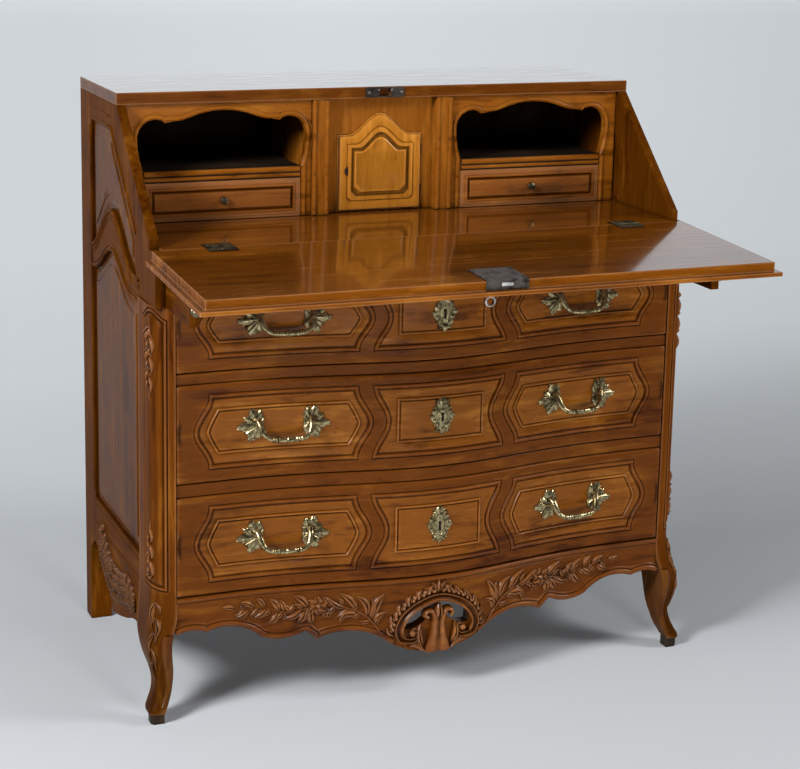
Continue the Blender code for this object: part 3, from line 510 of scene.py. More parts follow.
# Shelf finish with painted shade
painted_shade_shelf = wood("painted_shade_shelf", "X", SHELF_SHADE_TONES, 0.55, 1.2)
foot_wood = wood("dark_foot", "Z", ((0.008, 0.005, 0.003), (0.018, 0.010, 0.005), (0.035, 0.018, 0.008)),
                 0.5, 1.3)
brass = metal("aged_brass", (0.44, 0.36, 0.19), (0.085, 0.066, 0.028), 0.28, 130.0)
dark_brass = metal("dark_brass", (0.14, 0.12, 0.07), (0.04, 0.035, 0.02), 0.42)
iron = metal("dark_iron", (0.13, 0.11, 0.095), (0.035, 0.028, 0.024), 0.42)
steel = metal("worn_steel", (0.60, 0.58, 0.55), (0.30, 0.28, 0.26), 0.30)
# Near-black finish that paints the shade inside keyholes
keyhole_shade = wood("keyhole_painted_shade", "Z",
                     ((0.004, 0.003, 0.002), (0.006, 0.004, 0.003), (0.010, 0.007, 0.004)), 0.8, shade_and_grime=0.0)


# Long drawers
ROW_U = np.linspace(1.0, -1.0, 25)
EDGE_R = 0.0042
EDGE_STEPS = EDGE_R * np.array((0.0, 0.12, 0.4, 1.0))
PANEL_MARGIN, PANEL_RISE, FIELD_MARGIN = 0.0175, 0.0020, 0.0330
# Heights of a panel's moulding by distance in from its outline, and by distance out from its field
OUTER_PROFILE = ((0.0, 0.0), (0.0006, -0.0012), (0.0013, -0.0012), (0.0020, 0.0003), (0.0034, 0.0014),
                 (0.0052, 0.0017), (0.0068, 0.0011), (0.0080, -0.0004), (0.0086, -0.0018),
                 (0.0096, -0.0018), (0.0112, -0.0012))
FIELD_PROFILE = ((0.0088, -0.0014), (0.0078, -0.0018), (0.0070, 0.0002), (0.0053, 0.0018), (0.0036, 0.0004),
                 (0.0028, -0.0016), (0.0019, -0.0016), (0.0010, 0.0002), (0.0, 0.0004))


def inset(ring, distance):
    """Closed outline moved inwards by a distance, with mitred corners; it runs clockwise."""
    before = ring - np.roll(ring, 1, axis=0)
    after = np.roll(ring, -1, axis=0) - ring
    first = np.stack([before[:, 1], -before[:, 0]], -1) / np.linalg.norm(before, axis=1)[:, None]
    second = np.stack([after[:, 1], -after[:, 0]], -1) / np.linalg.norm(after, axis=1)[:, None]
    return ring + distance * (first + second) / (1 + (first * second).sum(axis=1))[:, None]


def trimmed(ring):
    """Outline of a panel in which no point has passed a corner."""
    ends = len(ROW_U)
    across = len(ring) // 2 - ends
    right, bottom, left, top = np.split(ring.copy(), np.cumsum((ends, across, ends)))
    corners = [corner.copy() for corner in (right[0], right[-1], left[0], left[-1])]
    for i, (part, axis) in enumerate(((right, 1), (bottom, 0), (left, 1), (top, 0))):
        first, last = corners[i], corners[(i + 1) % 4]
        way = np.sign(last[axis] - first[axis])
        part[way * (part[:, axis] - first[axis]) < 0] = first
        part[way * (last[axis] - part[:, axis]) < 0] = last
    return np.concatenate([right, bottom, left, top])


def eased(distance):
    """Drop of a rounded edge at a distance in from it."""
    inside = np.clip(EDGE_R - distance, 0.0, EDGE_R)
    return np.sqrt(EDGE_R**2 - inside**2) - EDGE_R


def panel_rings(centre, middle, tall, ends, field_tall, field_ends):
    """Outer and inner outlines of a moulded panel, point for point."""
    def ring(half_height, end):
        u = ROW_U
        right = np.stack([centre + end, middle + half_height * u], -1)
        left = np.stack([centre - end, middle + half_height * u], -1)[::-1]
        share = np.linspace(0.0, 1.0, 33)[1:-1, None]
        return np.concatenate([right, right[-1] + (left[0] - right[-1]) * share, left,
                               left[-1] + (right[0] - left[-1]) * share])
    return ring(tall, ends), ring(field_tall, field_ends)


def drawer_front(word):
    """Bowed front with three moulded panels: two with swelling ends and a waisted one between them."""
    low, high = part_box(word + "_drawer_front")
    z0, z1 = low[2], high[2]
    middle, tall = (z0 + z1) / 2 + PANEL_RISE, (z1 - z0) / 2 - PANEL_MARGIN
    shape, fields = Shape(), Shape()

    def at(x, z, h):
        x, z = np.asarray(x), np.asarray(z)
        edges = eased(FRONT_HALF - np.abs(x)) + eased(z - z0) + eased(z1 - z)
        return front_at(x, z, h + edges)
    swell = bell(ROW_U) ** 1.15
    point = 1 - np.abs(ROW_U) ** 1.25
    long_ends, long_field = 0.124 + 0.025 * swell, 0.1045 + 0.015 * point
    waist_ends, waist_field = 0.1195 - 0.0225 * swell, np.full(len(ROW_U), 0.0705)
    field_tall = tall - FIELD_MARGIN
    for centre, ends, field_ends in ((-HANDLE_X, long_ends, long_field), (0.0, waist_ends, waist_field),
                                     (HANDLE_X, long_ends, long_field)):
        outer, inner = panel_rings(centre, middle, tall, ends, field_tall, field_ends)
        rows = [at(*trimmed(inset(outer, d)).T, h) for d, h in OUTER_PROFILE]
        rows += [at(*inset(inner, -d).T, h) for d, h in FIELD_PROFILE]
        shape.grid(rows[:len(OUTER_PROFILE)], FORWARD, loop=True)
        fields.grid(rows[len(OUTER_PROFILE) - 1:], FORWARD, loop=True)
        across = np.linspace(-1.0, 1.0, 41)
        up = (middle + field_tall * ROW_U)[:, None] + 0 * across
        fields.grid(at(centre + field_ends[:, None] * across, up, FIELD_PROFILE[-1][1]), FORWARD)
    z_rows = middle + tall * ROW_U
    edge = np.full(len(ROW_U), FRONT_HALF)
    for left, right, near in ((-edge, -HANDLE_X - long_ends, True),
                              (-HANDLE_X + long_ends, -waist_ends, False),
                              (waist_ends, HANDLE_X - long_ends, False),
                              (HANDLE_X + long_ends, edge, True)):
        span = right - left
        share = np.linspace(0.0, 1.0, 9)
        x = left[:, None] + span[:, None] * share
        if near:
            ease = EDGE_STEPS if left[0] < -FRONT_HALF + 1e-6 else -EDGE_STEPS[::-1]
            rim = (left if left[0] < -FRONT_HALF + 1e-6 else right)[:, None] + ease
            x = np.hstack([rim, x[:, 1:]]) if ease[-1] > 0 else np.hstack([x[:, :-1], rim])
        shape.grid(at(x, z_rows[:, None] + 0 * x, 0.0), FORWARD)
    columns = np.concatenate([-FRONT_HALF + EDGE_STEPS[:-1],
                              np.linspace(-FRONT_HALF + EDGE_R, FRONT_HALF - EDGE_R, 150),
                              FRONT_HALF - EDGE_STEPS[-2::-1]])
    upper = np.concatenate([[middle + tall], np.linspace(middle + tall, z1 - EDGE_R, 3)[1:],
                            z1 - EDGE_STEPS[-2::-1]])
    lower = np.concatenate([z0 + EDGE_STEPS[:-1], np.linspace(z0 + EDGE_R, middle - tall, 3)])
    for rows in (upper, lower):
        shape.grid(at(columns[None] + 0 * rows[:, None], rows[:, None] + 0 * columns, 0.0), FORWARD)

    def back(x, z):
        return front_at(x, z, -FRONT_T)
    for z, out in ((z0, -UP), (z1, UP)):
        shape.grid([at(columns, np.full_like(columns, z), 0.0), back(columns, z)], out)
    z_all = np.concatenate([lower, z_rows[::-1][1:-1], upper])
    for x in (-FRONT_HALF, FRONT_HALF):
        shape.grid([at(np.full_like(z_all, x), z_all, 0.0), back(np.full_like(z_all, x), z_all)], (x, 0, 0))
    shape.grid([back(columns, z0), back(columns, z1)], -FORWARD)
    piece(shape, word + "_moulded_front", "drawer_" + word, walnut_moulded,
          [word + "_drawer_front"])
    piece(fields, word + "_panel_fields", "drawer_" + word, walnut_field)


# Cast handles and key plates
def cast_handle(word, hand, side):
    """Leaf mounts joined by a drooping ringed bar."""
    low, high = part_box(word + "_drawer_front")
    middle, z = side * HANDLE_X, (low[2] + high[2]) / 2 + HANDLE_RISE
    shape = Shape()

    def at(a, b, h):
        return front_at(middle + np.asarray(a), z + np.asarray(b), np.asarray(h) + 0.0008)
    turn = turns(120)
    reach = np.full(len(turn), 0.0190)
    ridge = np.zeros(len(turn))
    for angle, tip, spread in ((98, 0.0265, 20), (66, 0.0300, 26), (30, 0.0275, 17), (-5, 0.0365, 24),
                               (-34, 0.0265, 16), (-60, 0.0310, 26), (-95, 0.0235, 18), (130, 0.0205, 18),
                               (-128, 0.0200, 18)):
        away = (turn - math.radians(angle) + math.pi) % (2 * math.pi) - math.pi
        off = np.abs(away) / math.radians(spread)
        reach = np.maximum(reach, np.where(off < 1, tip - (tip - 0.0190) * off**1.4, 0.0))
        ridge = np.maximum(ridge, bell(1.3 * off))
    reach = reach * (1 + 0.06 * np.cos(34 * turn)) * (1 - 0.55 * bell((turn - math.pi) / (0.5 * math.pi)))
    for k in (-1, 1):
        hub = np.array((k * 0.0420, 0.0020))
        rings = []
        for share, lift, vein in ((1.0, 0.0, 0.0), (0.96, 0.0016, 0.0004), (0.80, 0.0024, 0.0016),
                                  (0.55, 0.0026, 0.0022), (0.30, 0.0044, 0.0012), (0.0, 0.0056, 0.0)):
            rings.append(at(hub[0] + k * share * reach * np.cos(turn),
                            hub[1] + share * reach * np.sin(turn), lift + vein * ridge))
        shape.grid(rings, FORWARD, loop=True)
    half = ((0.0470, 0.0120, 0.0030), (0.0445, 0.0100, 0.0080), (0.0425, 0.0040, 0.0135),
            (0.0400, -0.0040, 0.0185), (0.0360, -0.0112, 0.0226), (0.0290, -0.0158, 0.0256),
            (0.0145, -0.0176, 0.0274), (0.0, -0.0180, 0.0280))
    stations = [(-a, b, h) for a, b, h in half] + list(half[-2::-1])
    path = curve([at(a, b, h) for a, b, h in stations], 151)
    along = np.linspace(-1.0, 1.0, 151)
    radius = 0.0038 + 0.0010 * bell(along / 0.40) + 0.0020 * bell((np.abs(along) - 0.80) / 0.40)
    for ring in (0.0, 0.20, 0.26, 0.32):
        radius = radius + 0.0015 * bell((np.abs(along) - ring) / 0.028)
    shape.tube(path, radius, 12, up=np.array((0.0, -1.0, 0.3)))
    piece(shape, word + "_" + hand + "_cast_handle", "drawer_" + word, brass,
          [word + "_" + hand + "_handle"])


def key_plate(word):
    """Scrolled and leafy plate with a keyhole and a pin hole."""
    low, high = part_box(word + "_escutcheon")
    z = (low[2] + high[2]) / 2
    at_front = flat_at(-BOW)

    def at(a, b, h):
        return at_front(a, z + np.asarray(b), np.asarray(h) + 0.0006)
    shape = Shape()
    turn = turns(72)
    reach = 1.0 / (np.abs(np.cos(turn)) + np.abs(np.sin(turn))) ** 0.75
    edge = reach * (1 + 0.05 * np.cos(9 * turn + 0.6) + 0.03 * np.sin(14 * turn))
    rings = []
    for share, lift in ((1.0, 0.0), (0.97, 0.0016), (0.86, 0.0026), (0.74, 0.0020), (0.60, 0.0016),
                        (0.40, 0.0020), (0.0, 0.0022)):
        ripple = 0.0006 * np.cos(18 * turn) * (share > 0.7)
        rings.append(at(0.0225 * share * edge * np.cos(turn), 0.0330 * share * edge * np.sin(turn),
                        lift + ripple))
    shape.grid(rings, FORWARD, loop=True)
    for k in (-1, 1):
        for flip in (-1, 1):
            spiral = np.linspace(0.0, 1.0, 40)
            angle = math.pi * (0.5 + 1.5 * spiral)
            size = 0.0062 * (1 - 0.72 * spiral)
            centre = np.array((k * 0.0125, flip * 0.0165))
            path = centre + np.stack([k * size * np.cos(angle), flip * size * np.sin(angle)], -1)
            strap(shape, at, path, 0.0015 * (1 - 0.3 * spiral), 0.0042)
            leaf(shape, at, (k * 0.006, flip * 0.020), (k * 0.013, flip * 0.0275), 0.006, 0.0036, FORWARD,
                 0.15 * k * flip)
        leaf(shape, at, (k * 0.012, 0.0), (k * 0.0225, 0.001), 0.009, 0.0036, FORWARD)
        rail = curve(((k * 0.0068, 0.0130), (k * 0.0092, 0.006), (k * 0.0088, -0.004),
                      (k * 0.0055, -0.0135)), 24)
        strap(shape, at, rail, 0.0014, 0.0040)
    leaf(shape, at, (0.0, 0.017), (0.002, 0.0335), 0.011, 0.0040, FORWARD)
    leaf(shape, at, (0.0, -0.015), (-0.001, -0.0330), 0.011, 0.0040, FORWARD)
    piece(shape, word + "_key_plate", "drawer_" + word, brass, [word + "_escutcheon"])
    # The keyhole and pin hole are dark slabs that paint the shade inside the holes
    hole = Shape()
    round_part = [(0.0027 * math.cos(a), 0.0030 + 0.0029 * math.sin(a))
                  for a in np.linspace(-0.9, math.pi + 0.9, 15)]
    hole.slab(round_part + [(-0.0022, -0.0095), (0.0022, -0.0095)], at, 0.0, 0.0026, FORWARD)
    hole.slab([(0.0011 * math.cos(a), 0.0110 + 0.0011 * math.sin(a)) for a in turns(12)],
              at, 0.0, 0.0027, FORWARD)
    piece(hole, word + "_keyhole", "drawer_" + word, keyhole_shade)


# Rails between the drawers
def bevelled(obj, width=0.0009):
    """Soften the edges of a piece."""
    soften = obj.modifiers.new("soft_edges", "BEVEL")
    soften.width = width
    soften.segments = 2
    soften.limit_method = "ANGLE"
    soften.angle_limit = math.radians(40)


def bowed_rail(node, name, back):
    """Rail that follows the bow, with runners where the node has them."""
    low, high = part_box(node)
    xs = np.linspace(-RAIL_HALF, RAIL_HALF, 97)
    outline = [(x, float(bow(x)) + RAIL_SET_BACK) for x in xs] + back
    at = lambda a, b, h: np.stack([np.asarray(a), SHIFT + np.asarray(b), np.full(len(a), h)], -1)
    shape = Shape()
    shape.slab(outline, at, low[2], high[2] if node != "bed_rail" else BED_TOP - 0.0265, UP)
    if node == "bed_rail":
        step = [(-RAIL_HALF, RAIL_D / 2), (RAIL_HALF, RAIL_D / 2), (RAIL_HALF, RAIL_D),
                (-RAIL_HALF, RAIL_D)]
        shape.slab(step, at, low[2] + 0.004, high[2], UP)
    bevelled(piece(shape, name, "carcass", walnut_across, [node]), 0.0016)


# Front apron
def apron_edge():
    """Scalloped lower edge of the apron, from the middle to the right end."""
    def at(share, drop):
        return (CARTOUCHE_HALF + (RAIL_HALF - CARTOUCHE_HALF) * share, APRON_TOP - APRON_DROP * drop)
    points = arc((0.0, APRON_TOP - APRON_DROP), (0.53 * CARTOUCHE_HALF, APRON_TOP - 0.959 * APRON_DROP),
                 at(0.0, 0.831))
    points += arc(at(0.0, 0.831), at(0.154, 0.647), at(0.338, 0.722))
    points += [at(0.338, 0.722)]
    points += arc(at(0.392, 0.598), at(0.476, 0.671), at(0.601, 0.620))
    points += arc(at(0.601, 0.620), at(0.727, 0.444), at(0.861, 0.474))
    points += arc(at(0.861, 0.474), at(0.923, 0.432), at(1.0, 0.466), 10)
    return np.array(points + [at(1.0, 0.466)])


def crescent():
    """Opening beside the column of the cartouche, on the right."""
    def at(across, drop):
        return (CARTOUCHE_HALF * across, APRON_TOP - APRON_DROP * drop)
    foot, head = at(0.672, 0.680), at(0.040, 0.300)
    return np.array(arc(foot, at(0.680, 0.500), head, 24) + arc(head, at(0.190, 0.535), foot, 24))


def apron():
    """Bowed apron with a scalloped edge, pierced by two crescents."""
    edge, hole = apron_edge(), crescent()
    shape = Shape()
    left_x, right_x = hole[:, 0].min(), hole[:, 0].max()
    first, last = hole[:, 0].argmin(), hole[:, 0].argmax()
    ring = np.roll(hole, -first, axis=0)
    turn = (last - first) % len(hole)
    sides = sorted((ring[:turn + 1], np.vstack([ring[turn:], ring[:1]])[::-1]),
                   key=lambda part: part[:, 1].mean())

    def edge_z(x):
        return np.interp(np.abs(x), edge[:, 0], edge[:, 1])

    def bound(part, x):
        return np.interp(np.abs(x), part[:, 0], part[:, 1])

    def patch(xs, low, high, rows):
        share = np.linspace(0.0, 1.0, rows)[:, None]
        for lift, out in ((0.0, FORWARD), (-APRON_T, -FORWARD)):
            shape.grid(front_at(xs[None] + 0 * share, low + (high - low) * share, lift), out)
    bend_x = np.unique(np.concatenate([edge[:, 0], np.linspace(0, RAIL_HALF, 70)]))
    for k in (-1, 1):
        outer_xs = k * np.concatenate([[right_x], bend_x[bend_x > right_x]])
        patch(outer_xs, edge_z(outer_xs), np.full(len(outer_xs), APRON_TOP), 7)
        xs = k * np.linspace(left_x, right_x, 33)
        patch(xs, edge_z(xs), bound(sides[0], xs), 4)
        patch(xs, bound(sides[1], xs), np.full(len(xs), APRON_TOP), 4)
        loop = np.stack([k * hole[:, 0], hole[:, 1]], -1)
        shape.grid([front_at(*loop.T, 0.0), front_at(*loop.T, -APRON_T)], loop=True)
    xs = np.linspace(-left_x, left_x, 17)
    patch(xs, edge_z(xs), np.full(len(xs), APRON_TOP), 7)
    path = np.vstack([edge[::-1] * (-1, 1), edge[1:]])
    shape.grid([front_at(*path.T, 0.0), front_at(*path.T, -APRON_T)], -UP)
    top = np.linspace(-RAIL_HALF, RAIL_HALF, 97)
    shape.grid([front_at(top, APRON_TOP, 0.0), front_at(top, APRON_TOP, -APRON_T)], UP)
    piece(shape, "scalloped_apron", "carcass", walnut_across, ["front_apron"])


def apron_mouldings():
    """Roll along the scalloped edge and a bead under the drawers."""
    edge = apron_edge()
    shape = Shape()
    path = edge[edge[:, 0] > CARTOUCHE_HALF - 0.006]
    for k in (-1, 1):
        for inwards, half, tall in ((0.0050, 0.0050, 0.0046), (0.0125, 0.0022, 0.0018)):
            strap(shape, front_at, offset_path(path, inwards) * (k, 1), half, tall)
    top = np.linspace(-RAIL_HALF, RAIL_HALF, 97)
    for z, half, tall in ((APRON_TOP - 0.0042, 0.0038, 0.0034), (APRON_TOP - 0.0115, 0.0016, 0.0014)):
        strap(shape, front_at, np.stack([top, 0 * top + z], -1), half, tall)
    piece(shape, "apron_mouldings", "carcass", walnut_carved)


def apron_spray(name, k):
    """Flowering branch carved between the cartouche and the end of the apron."""
    shape = Shape()

    def at(a, b, h):
        return front_at(k * np.asarray(a), b, h)
    branch = ((0.098, 0.112), (0.112, 0.132), (0.124, 0.1455), (0.150, 0.1606), (0.184, 0.170),
              (0.205, 0.170), (0.227, 0.1655), (0.255, 0.1622), (0.270, 0.166), (0.295, 0.1737),
              (0.318, 0.176), (0.352, 0.180))
    stem(shape, at, branch, 0.0023, 0.0040, FORWARD, 90)
    leaves = (
        ((0.113, 0.140), (0.094, 0.184), 0.015, -0.10), ((0.110, 0.134), (0.090, 0.150), 0.010, -0.2),
        ((0.122, 0.148), (0.143, 0.183), 0.0125, 0.18), ((0.118, 0.142), (0.114, 0.178), 0.0095, 0.1),
        ((0.140, 0.156), (0.170, 0.190), 0.012, 0.10), ((0.138, 0.149), (0.175, 0.1465), 0.0125, 0.12),
        ((0.158, 0.162), (0.192, 0.186), 0.0095, -0.1), ((0.150, 0.157), (0.168, 0.134), 0.009, 0.2),
        ((0.222, 0.168), (0.246, 0.191), 0.0125, 0.10), ((0.227, 0.162), (0.240, 0.143), 0.0135, -0.12),
        ((0.233, 0.163), (0.262, 0.152), 0.0105, -0.1), ((0.215, 0.160), (0.213, 0.139), 0.012, 0.15),
        ((0.256, 0.163), (0.246, 0.177), 0.008, 0.1), ((0.262, 0.165), (0.272, 0.186), 0.009, 0.15),
        ((0.270, 0.166), (0.288, 0.189), 0.0115, 0.12), ((0.272, 0.164), (0.290, 0.147), 0.0115, -0.15),
        ((0.292, 0.171), (0.313, 0.160), 0.010, -0.12), ((0.298, 0.176), (0.310, 0.193), 0.009, 0.15),
        ((0.312, 0.176), (0.336, 0.188), 0.0095, 0.1), ((0.322, 0.174), (0.343, 0.163), 0.009, -0.12),
        ((0.345, 0.179), (0.366, 0.183), 0.0085, 0.05),
    )
    for base, tip, width, bend in leaves:
        leaf(shape, at, base, tip, 1.25 * width, 0.0066, FORWARD, bend)
    twig = curve(branch, 26)
    for i in range(2, 24):
        on = twig[i + 1] - twig[i - 1]
        on = on / np.linalg.norm(on)
        way = (-1) ** i * np.array((-on[1], on[0]))
        leaf(shape, at, twig[i], twig[i] + 0.0125 * way + 0.0120 * on, 0.0095, 0.0052, FORWARD,
             0.2 * (-1) ** i)
    flower(shape, at, (0.205, 0.170), 0.0165, 0.0062, FORWARD, 6)
    flower(shape, at, (0.221, 0.156), 0.0110, 0.0056, FORWARD, 5, 0.8)
    flower(shape, at, (0.190, 0.156), 0.0095, 0.0052, FORWARD, 5, 0.1)
    for centre in ((0.302, 0.166), (0.330, 0.181), (0.262, 0.156)):
        flower(shape, at, centre, 0.0062, 0.0048, FORWARD, 5)
    piece(shape, name, "carcass", walnut_carved)


def cartouche():
    """Pierced shell of scrolls with a fluted leaf column in the middle."""
    shape = Shape()
    t = np.linspace(0.0, 1.0, 110)
    eye = np.array((0.046, 0.110))
    scroll = [eye + (0.0008, 0.0), eye + (-0.0045, 0.0055), eye + (-0.0105, -0.0005),
              eye + (-0.0055, -0.0115), eye + (0.0065, -0.0130)]
    hoop = [(0.0650, 0.1015), (0.0705, 0.1150), (0.0645, 0.1360), (0.0505, 0.1515), (0.0290, 0.1640),
            (0.0105, 0.1702), (0.0, 0.1715)]
    whole, upper = curve(scroll + hoop, 110), curve(hoop, 80)
    grow = np.clip((t - 0.08) / 0.35, 0.0, 1.0) * (1.0 - 0.25 * np.clip((t - 0.6) / 0.4, 0.0, 1.0))
    hollow = (np.array((-1, -0.86, -0.72, -0.4, 0, 0.4, 0.72, 0.86, 1)),
              np.array((0, 1, 1, 0.62, 0.5, 0.62, 1, 1, 0)))
    for k in (-1, 1):
        side = np.array((k, 1.0))
        strap(shape, front_at, whole * side, 0.0028 + 0.0042 * grow, 0.0080 + 0.0020 * grow, hollow,
              FORWARD)
        strap(shape, front_at, offset_path(upper, 0.0068) * side, 0.0015, 0.0115)
        rim = offset_path(curve(hoop[1:], 12), -0.0048)
        on = heading(rim)
        for i in range(11):
            way = np.array((on[i, 1], -on[i, 0]))
            size = 1.0 + 0.22 * (-1) ** i
            leaf(shape, front_at, (rim[i] - 0.0035 * on[i]) * side,
                 (rim[i] + 0.0122 * size * way + 0.0050 * on[i]) * side, 0.0146, 0.0088, FORWARD, -0.25 * k,
                 LEAF, 0.6)
            leaf(shape, front_at, (rim[i] + 0.001 * on[i]) * side,
                 (rim[i] + 0.0070 * way + 0.0090 * on[i]) * side, 0.0080, 0.0102, FORWARD, -0.3 * k, ROUND,
                 0.7)
        shape.turned(front_at(*(eye * side), 0.0), FORWARD,
                     ((-0.002, 0.0050), (0.009, 0.0046), (0.0115, 0.0028), (0.0125, 0.0)), 14)
        for i in range(5):
            spread = 0.0042 * i
            flute = curve(((0.0240 + 0.5 * spread, 0.0765 + 0.35 * spread),
                           (0.0300 + 0.8 * spread, 0.0850 + 0.15 * spread),
                           (0.0330 + 1.1 * spread, 0.0955 - 0.4 * spread)), 20)
            strap(shape, front_at, flute * side, 0.0025, 0.0080)
        leaf(shape, front_at, np.array((0.0250, 0.083)) * side, np.array((0.0305, 0.1245)) * side, 0.0150,
             0.0095, FORWARD, -0.14 * k)
        lobe = curve(((0.006, 0.126), (0.0085, 0.1395), (0.0145, 0.1475), (0.0225, 0.1465),
                      (0.0245, 0.1400), (0.0195, 0.1375)), 40)
        strap(shape, front_at, lobe * side, 0.0066 - 0.0026 * np.linspace(0, 1, 40), 0.0135)
        leaf(shape, front_at, np.array((0.002, 0.177)) * side, np.array((0.0150, 0.1965)) * side, 0.0090,
             0.0090, FORWARD, 0.15 * k)
        leaf(shape, front_at, np.array((0.006, 0.176)) * side, np.array((0.0270, 0.1865)) * side, 0.0085,
             0.0085, FORWARD, 0.15 * k)
    column = np.stack([0 * t, 0.0748 + 0.0670 * t], -1)
    half = 0.0125 + 0.0135 * (1 - np.sin(0.5 * math.pi * np.clip(t / 0.8, 0, 1)))
    strap(shape, front_at, column, half, 0.0125 - 0.003 * np.abs(t - 0.5), beads(2), FORWARD)
    strap(shape, front_at, column, 0.95 * half, 0.0075)
    leaf(shape, front_at, (0.0, 0.128), (0.0, 0.1640), 0.0190, 0.0150, FORWARD, 0.0)
    leaf(shape, front_at, (0.0, 0.176), (0.001, 0.2010), 0.0115, 0.0105, FORWARD, 0.0)
    piece(shape, "carved_cartouche", "carcass", walnut_carved)


# Front posts and legs
POST_W, LEG_H = POST_OUT - POST_IN, 0.215
# Shares as in the part's source: height, inner and outer edge off the post's, front and back
LEG = np.array(((0.086, 0.680, 0.390, -0.165, 0.150), (0.112, 0.620, 0.375, -0.155, 0.195),
                (0.153, 0.490, 0.245, -0.115, 0.235), (0.233, 0.303, 0.043, -0.055, 0.280),
                (0.316, 0.196, -0.029, -0.020, 0.360), (0.395, 0.179, 0.063, -0.030, 0.450),
                (0.493, 0.239, 0.245, -0.065, 0.570), (0.563, 0.274, 0.303, -0.085, 0.660),
                (0.637, 0.245, 0.274, -0.080, 0.820), (0.707, 0.144, 0.187, -0.060, 0.930),
                (0.791, 0.0, 0.101, -0.030, 1.0), (1.0, 0.0, 0.0, 0.0, 1.0),
                (1.07, 0.0, 0.0, 0.0, 1.0))) * (LEG_H, POST_W, POST_W, POST_D, POST_D)
PLAN_TURN = np.linspace(0.0, math.pi / 2, 25)


def corner_plan(across, back, last):
    """Plan of a post's outer side as shares of its width and depth, with a rounded corner."""
    bend = np.stack([across + (1 - across) * np.sin(PLAN_TURN), back * (1 - np.cos(PLAN_TURN))], -1)
    return np.vstack([[(0.0, 0.0), (across / 2, 0.0)], bend,
                      [(1.0, last), (1.0, (1 + last) / 2), (1.0, 1.0)]])


PLAN, LEG_PLAN = corner_plan(0.28, 0.48, 0.65), corner_plan(0.62, 0.36, 0.60)
PLAN_AT = distances(PLAN * (POST_W, POST_D))


def leg_edges(z):
    """Inner, outer, front and back of the leg at a height."""
    z = np.clip(np.asarray(z, float), LEG[0, 0], LEG[-1, 0])
    inner, outer, front, back = np.moveaxis(smooth(LEG[:, 0], LEG[:, 1:], z), -1, 0)
    return POST_IN + inner, POST_OUT + outer, front, np.minimum(back, POST_D)


def post_at(side):
    """Surface of a front post and its leg: round the corner from the drawers, up and out."""
    def at(a, b, h):
        a, b, h = np.broadcast_arrays(np.asarray(a, float), np.asarray(b, float), np.asarray(h, float))
        inner, outer, front, back = leg_edges(b)
        square = np.clip((0.205 - b) / 0.06, 0.0, 1.0)
        px, py = [(1 - square) * np.interp(a, PLAN_AT, PLAN[:, i])
                  + square * np.interp(a, PLAN_AT, LEG_PLAN[:, i]) for i in (0, 1)]
        angle = np.interp(a, PLAN_AT, np.concatenate([[0, 0], PLAN_TURN, [math.pi / 2] * 3]))
        x = inner + (outer - inner) * px + h * np.sin(angle)
        y = front + (back - front) * py - h * np.cos(angle)
        return np.stack([side * x, SHIFT + y, b], -1)
    return at


PANEL_NEAR, PANEL_FAR, PANEL_LOW, PANEL_HIGH, PANEL_HEAD = 0.0125, 0.0880, 0.2190, 0.6860, 0.016
GROOVES = np.array(((0.0, 0.0), (0.0006, -0.0020), (0.0018, -0.0022), (0.0026, -0.0003), (0.0045, 0.0006),
                    (0.0066, -0.0004), (0.0076, -0.0024), (0.0094, -0.0026), (0.0112, -0.0006),
                    (0.0150, 0.0010), (0.0200, 0.0014)))


